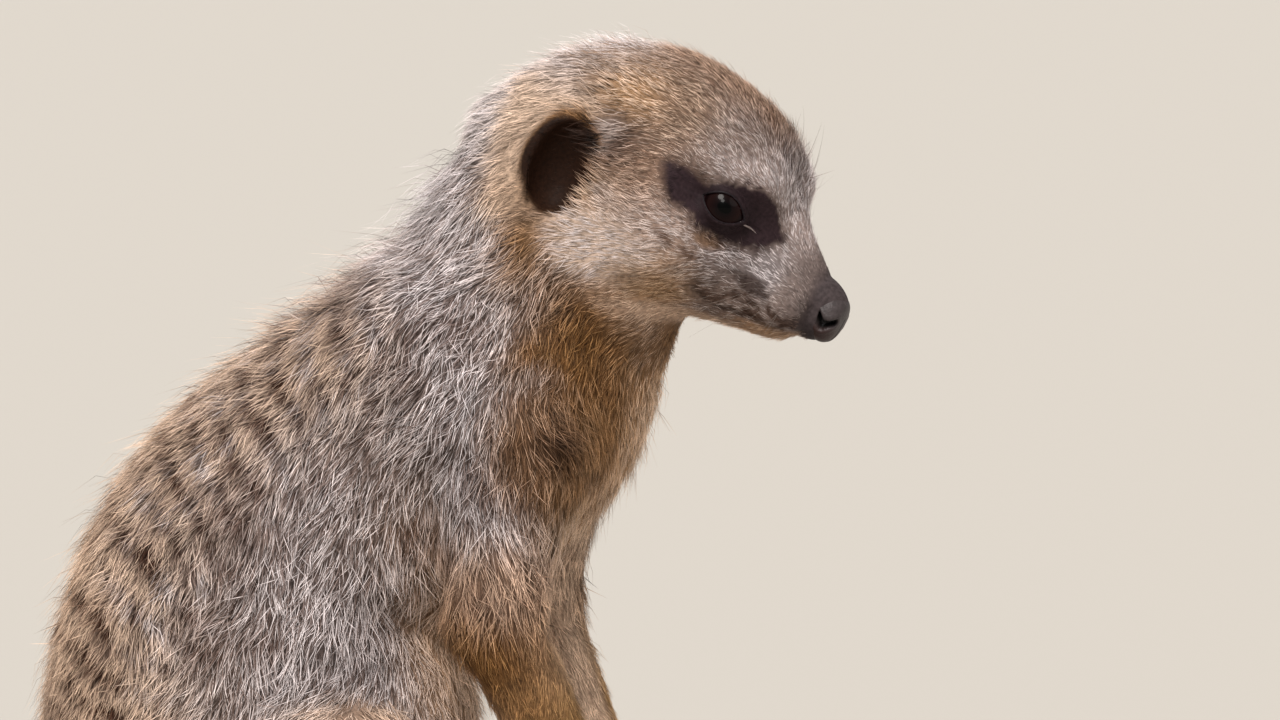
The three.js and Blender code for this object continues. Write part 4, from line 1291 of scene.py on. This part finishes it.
def build_nose(material):
    """A round pad with a flat front, nostrils that curl back, and a groove between them."""
    theta, phi = ball_angles(NOSE_RINGS, NOSE_AROUND)
    way = np.stack([np.cos(theta), np.sin(theta) * np.cos(phi), np.sin(theta) * np.sin(phi)], 1)
    place = way * NOSE_RADII
    mirrored = place * [1, 0, 1] + np.abs(place) * [0, 1, 0]
    from_slit = np.full(len(place), 9.0)
    for k in range(2):
        a, b = NOSTRIL[k], NOSTRIL[k + 1]
        t = np.clip((mirrored - a) @ (b - a) / ((b - a) @ (b - a)), 0, 1)
        width = mix(NOSTRIL_WIDTHS[k], NOSTRIL_WIDTHS[k + 1], t)
        away = size(mirrored - mix(a, b, t[:, None]))
        from_slit = np.minimum(from_slit, away / width)
    hole = step(1.1, 0.5, from_slit)
    wing = np.exp(-((from_slit - 1.5) / 0.4) ** 2)
    groove = np.exp(-(place[:, 1] / 0.32) ** 2) * step(1.2, 0.2, place[:, 2]) * (way[:, 0] > 0)
    # where the pad's underside takes painted shade
    low = step(-0.2, -2.6, place[:, 2])
    out = 0.15 * wing - 2.0 * hole - 0.3 * groove
    place += unit(way / NOSE_RADII) * out[:, None]
    proud = place[:, 0] - NOSE_FACE - 0.15 * place[:, 2]
    place[:, 0] -= 0.65 * NOSE_EASE * np.log1p(np.exp(proud / NOSE_EASE))
    place[:, 2] += NOSE_LIFT * step(-3, 2, place[:, 2])
    mesh = mesh_of("nose", from_head(place + NOSE_CENTRE), stack_faces(NOSE_RINGS, NOSE_AROUND))
    # painted shade in the nostrils and, half as strong, in the groove between them
    number_attribute(mesh, "hole", np.maximum(hole, groove * 0.5))
    number_attribute(mesh, "low", low)
    add_piece("nose_pad", mesh, material, ["nose"])


CLAW_RINGS, CLAW_AROUND = 16, 12
CLAW_CORE = (6, 5, 5, 6)    # points of a claw's node on each of its rings, from one end to the other


def smooth_claw(name):
    """A round claw along the middle of a claw's node."""
    points, _ = node_arrays(name)
    middle = points - points.mean(0)
    axis = np.linalg.svd(middle, full_matrices=False)[2][0]
    order = np.argsort(middle @ axis)
    groups = np.split(points[order], np.cumsum(CLAW_CORE)[:-1])
    centres = np.array([g.mean(0) for g in groups])
    radii = np.array([size(g - c).max() for g, c in zip(groups, centres)])
    if radii[0] < radii[-1]:
        centres, radii = centres[::-1], radii[::-1]
    t = np.linspace(0, 3, CLAW_RINGS)
    line = np.stack([np.polyval(np.polyfit(range(4), centres[:, k], 3), t) for k in range(3)], 1)
    thick = np.interp(t, range(4), radii) * 0.95
    thick[-2:] = thick[-3] * np.array([0.8, 0.4])
    return tube(line, thick, CLAW_AROUND, 0.8), stack_faces(CLAW_RINGS, CLAW_AROUND)


def build_claws(material):
    names = [n for n in NODES if n.startswith("claw")]
    points, faces = joined([smooth_claw(n) for n in names])
    add_piece("claws", mesh_of("claws", points, faces), material, names)


WHISKER_ROWS, WHISKERS_IN_ROW = 3, 4
WHISKER_RADIUS = 0.045
WHISKER_RINGS, WHISKER_AROUND = 9, 4


def whisker(random, tree, root, way, length, parts):
    """A thin bowed hair from the skin's nearest place to root, in the head's frame."""
    place = tree.find_nearest(from_head(root).tolist())[0]
    way = unit(way + random.normal(size=3) * 0.12)
    t = np.linspace(0, 1, WHISKER_RINGS)[:, None]
    bow = unit(np.array((-0.5, 0, -0.7)) + random.normal(size=3) * 0.3)
    line = np.array(place) + (head_way(*way) * t + head_way(*bow) * 0.18 * t ** 2) * length
    radii = WHISKER_RADIUS * (1 - 0.8 * t[:, 0])
    parts.append((tube(line, radii, WHISKER_AROUND), stack_faces(WHISKER_RINGS, WHISKER_AROUND)))


def build_whiskers(tree, material):
    random = np.random.default_rng(SEED)
    parts = []
    for sign in SIDES.values():
        for row in range(WHISKER_ROWS):
            for k in range(WHISKERS_IN_ROW):
                root = (7 + 2.8 * k + 0.7 * (row % 2), 9 * sign, -10.2 - 2.1 * row - 0.5 * k)
                way = np.array((-0.3 + 0.13 * k, 0.9 * sign, 0.02 - 0.16 * row))
                whisker(random, tree, root, way, random.uniform(10, 19) - 1.2 * k, parts)
        for front, up in ((6, 9), (3, 10), (0, 10.5)):
            way = np.array((-0.1, 0.5 * sign, 0.85))
            whisker(random, tree, (front, 9 * sign, up), way, 11, parts)
        for front in (-9, -12):
            way = np.array((-0.8, 0.5 * sign, -0.1))
            whisker(random, tree, (front, 18 * sign, -12), way, 13, parts)
    points, faces = joined(parts)
    add_piece("whiskers", mesh_of("whiskers", points, faces), material)


skin_tree = BVHTree.FromPolygons(skin.points.tolist(), skin.triangles.tolist())
eye_look = eye_material()
rim_look = plain_material("lid_rim", "140e11", "1f181c", 0.45, specular=0.12)
# the tear's pale grey is painted sheen of the wet streak
tear_sheen_look = plain_material("tear", "6a5c5a", "8d807e", 0.2)
for side in SIDES:
    build_eye(side, eye_look)
    build_lid_rim(side, rim_look)
    build_tear(side, skin_tree, tear_sheen_look)
build_nose(nose_material())
build_claws(plain_material("claw", "2b2019", "4d3d31", 0.35, 700, 0.0001))
build_whiskers(skin_tree, plain_material("whisker", "5f554f", "8f837b", 0.5))

# -------- stage, light and camera

STAGE_TONE = "b9b4ad"
SKY_TONE = "e6e3de"


def toward(azimuth, elevation):
    """The way to an azimuth and an elevation, in degrees; azimuth 0 is in front of -Y."""
    a, e = math.radians(azimuth), math.radians(elevation)
    return Vector((math.sin(a) * math.cos(e), -math.cos(a) * math.cos(e), math.sin(e)))


def build_stage():
    mesh = bpy.data.meshes.new("floor")
    shape = bmesh.new()
    bmesh.ops.create_circle(shape, cap_ends=True, segments=96, radius=40)
    shape.to_mesh(mesh)
    shape.free()
    look = Look("floor", 0.9, 0.2)
    look.colour((*linear(STAGE_TONE), 1))
    mesh.materials.append(look.material)
    floor = added("floor", mesh)


def sun(name, azimuth, elevation, energy, softness, colour=(1, 1, 1)):
    light = bpy.data.lights.new(name, "SUN")
    light.energy = energy
    light.angle = math.radians(softness)
    light.color = colour
    lamp = added(name, light)
    lamp.rotation_mode = "QUATERNION"
    lamp.rotation_quaternion = toward(azimuth, elevation).to_track_quat("Z", "Y")


def build_light():
    world = bpy.data.worlds.new("studio")
    world.use_nodes = True
    background = world.node_tree.nodes["Background"]
    background.inputs["Color"].default_value = (*linear(SKY_TONE), 1)
    background.inputs["Strength"].default_value = 0.62
    bpy.context.scene.world = world
    sun("key", -8, 50, 2.5, 22, (1.0, 0.96, 0.915))
    sun("glint", 3, 34, 0.85, 15, (1.0, 0.965, 0.93))
    sun("fill", 60, 25, 0.45, 40, (1.0, 0.97, 0.93))
    sun("rim", 190, 50, 0.9, 30)


CAMERA_AZIMUTH = 6
CAMERA_ELEVATION = 3
CAMERA_DISTANCE = 1.7
VIEW_WIDTH = 0.2462
VIEW_CENTRE = (-21.8, 6.8, -29.6)    # from the head's middle, along the room's axes


def build_camera():
    back = toward(CAMERA_AZIMUTH, CAMERA_ELEVATION)
    data = bpy.data.cameras.new("camera")
    camera = added("camera", data)
    data.sensor_width = 36
    data.lens = data.sensor_width * CAMERA_DISTANCE / VIEW_WIDTH
    data.clip_start = 0.01
    camera.location = Vector((HEAD + np.array(VIEW_CENTRE)) * MM) + back * CAMERA_DISTANCE
    camera.rotation_mode = "QUATERNION"
    camera.rotation_quaternion = (-back).to_track_quat("-Z", "Y")
    bpy.context.scene.camera = camera


build_stage()
build_light()
build_camera()
bpy.context.scene.view_settings.view_transform = "Standard"
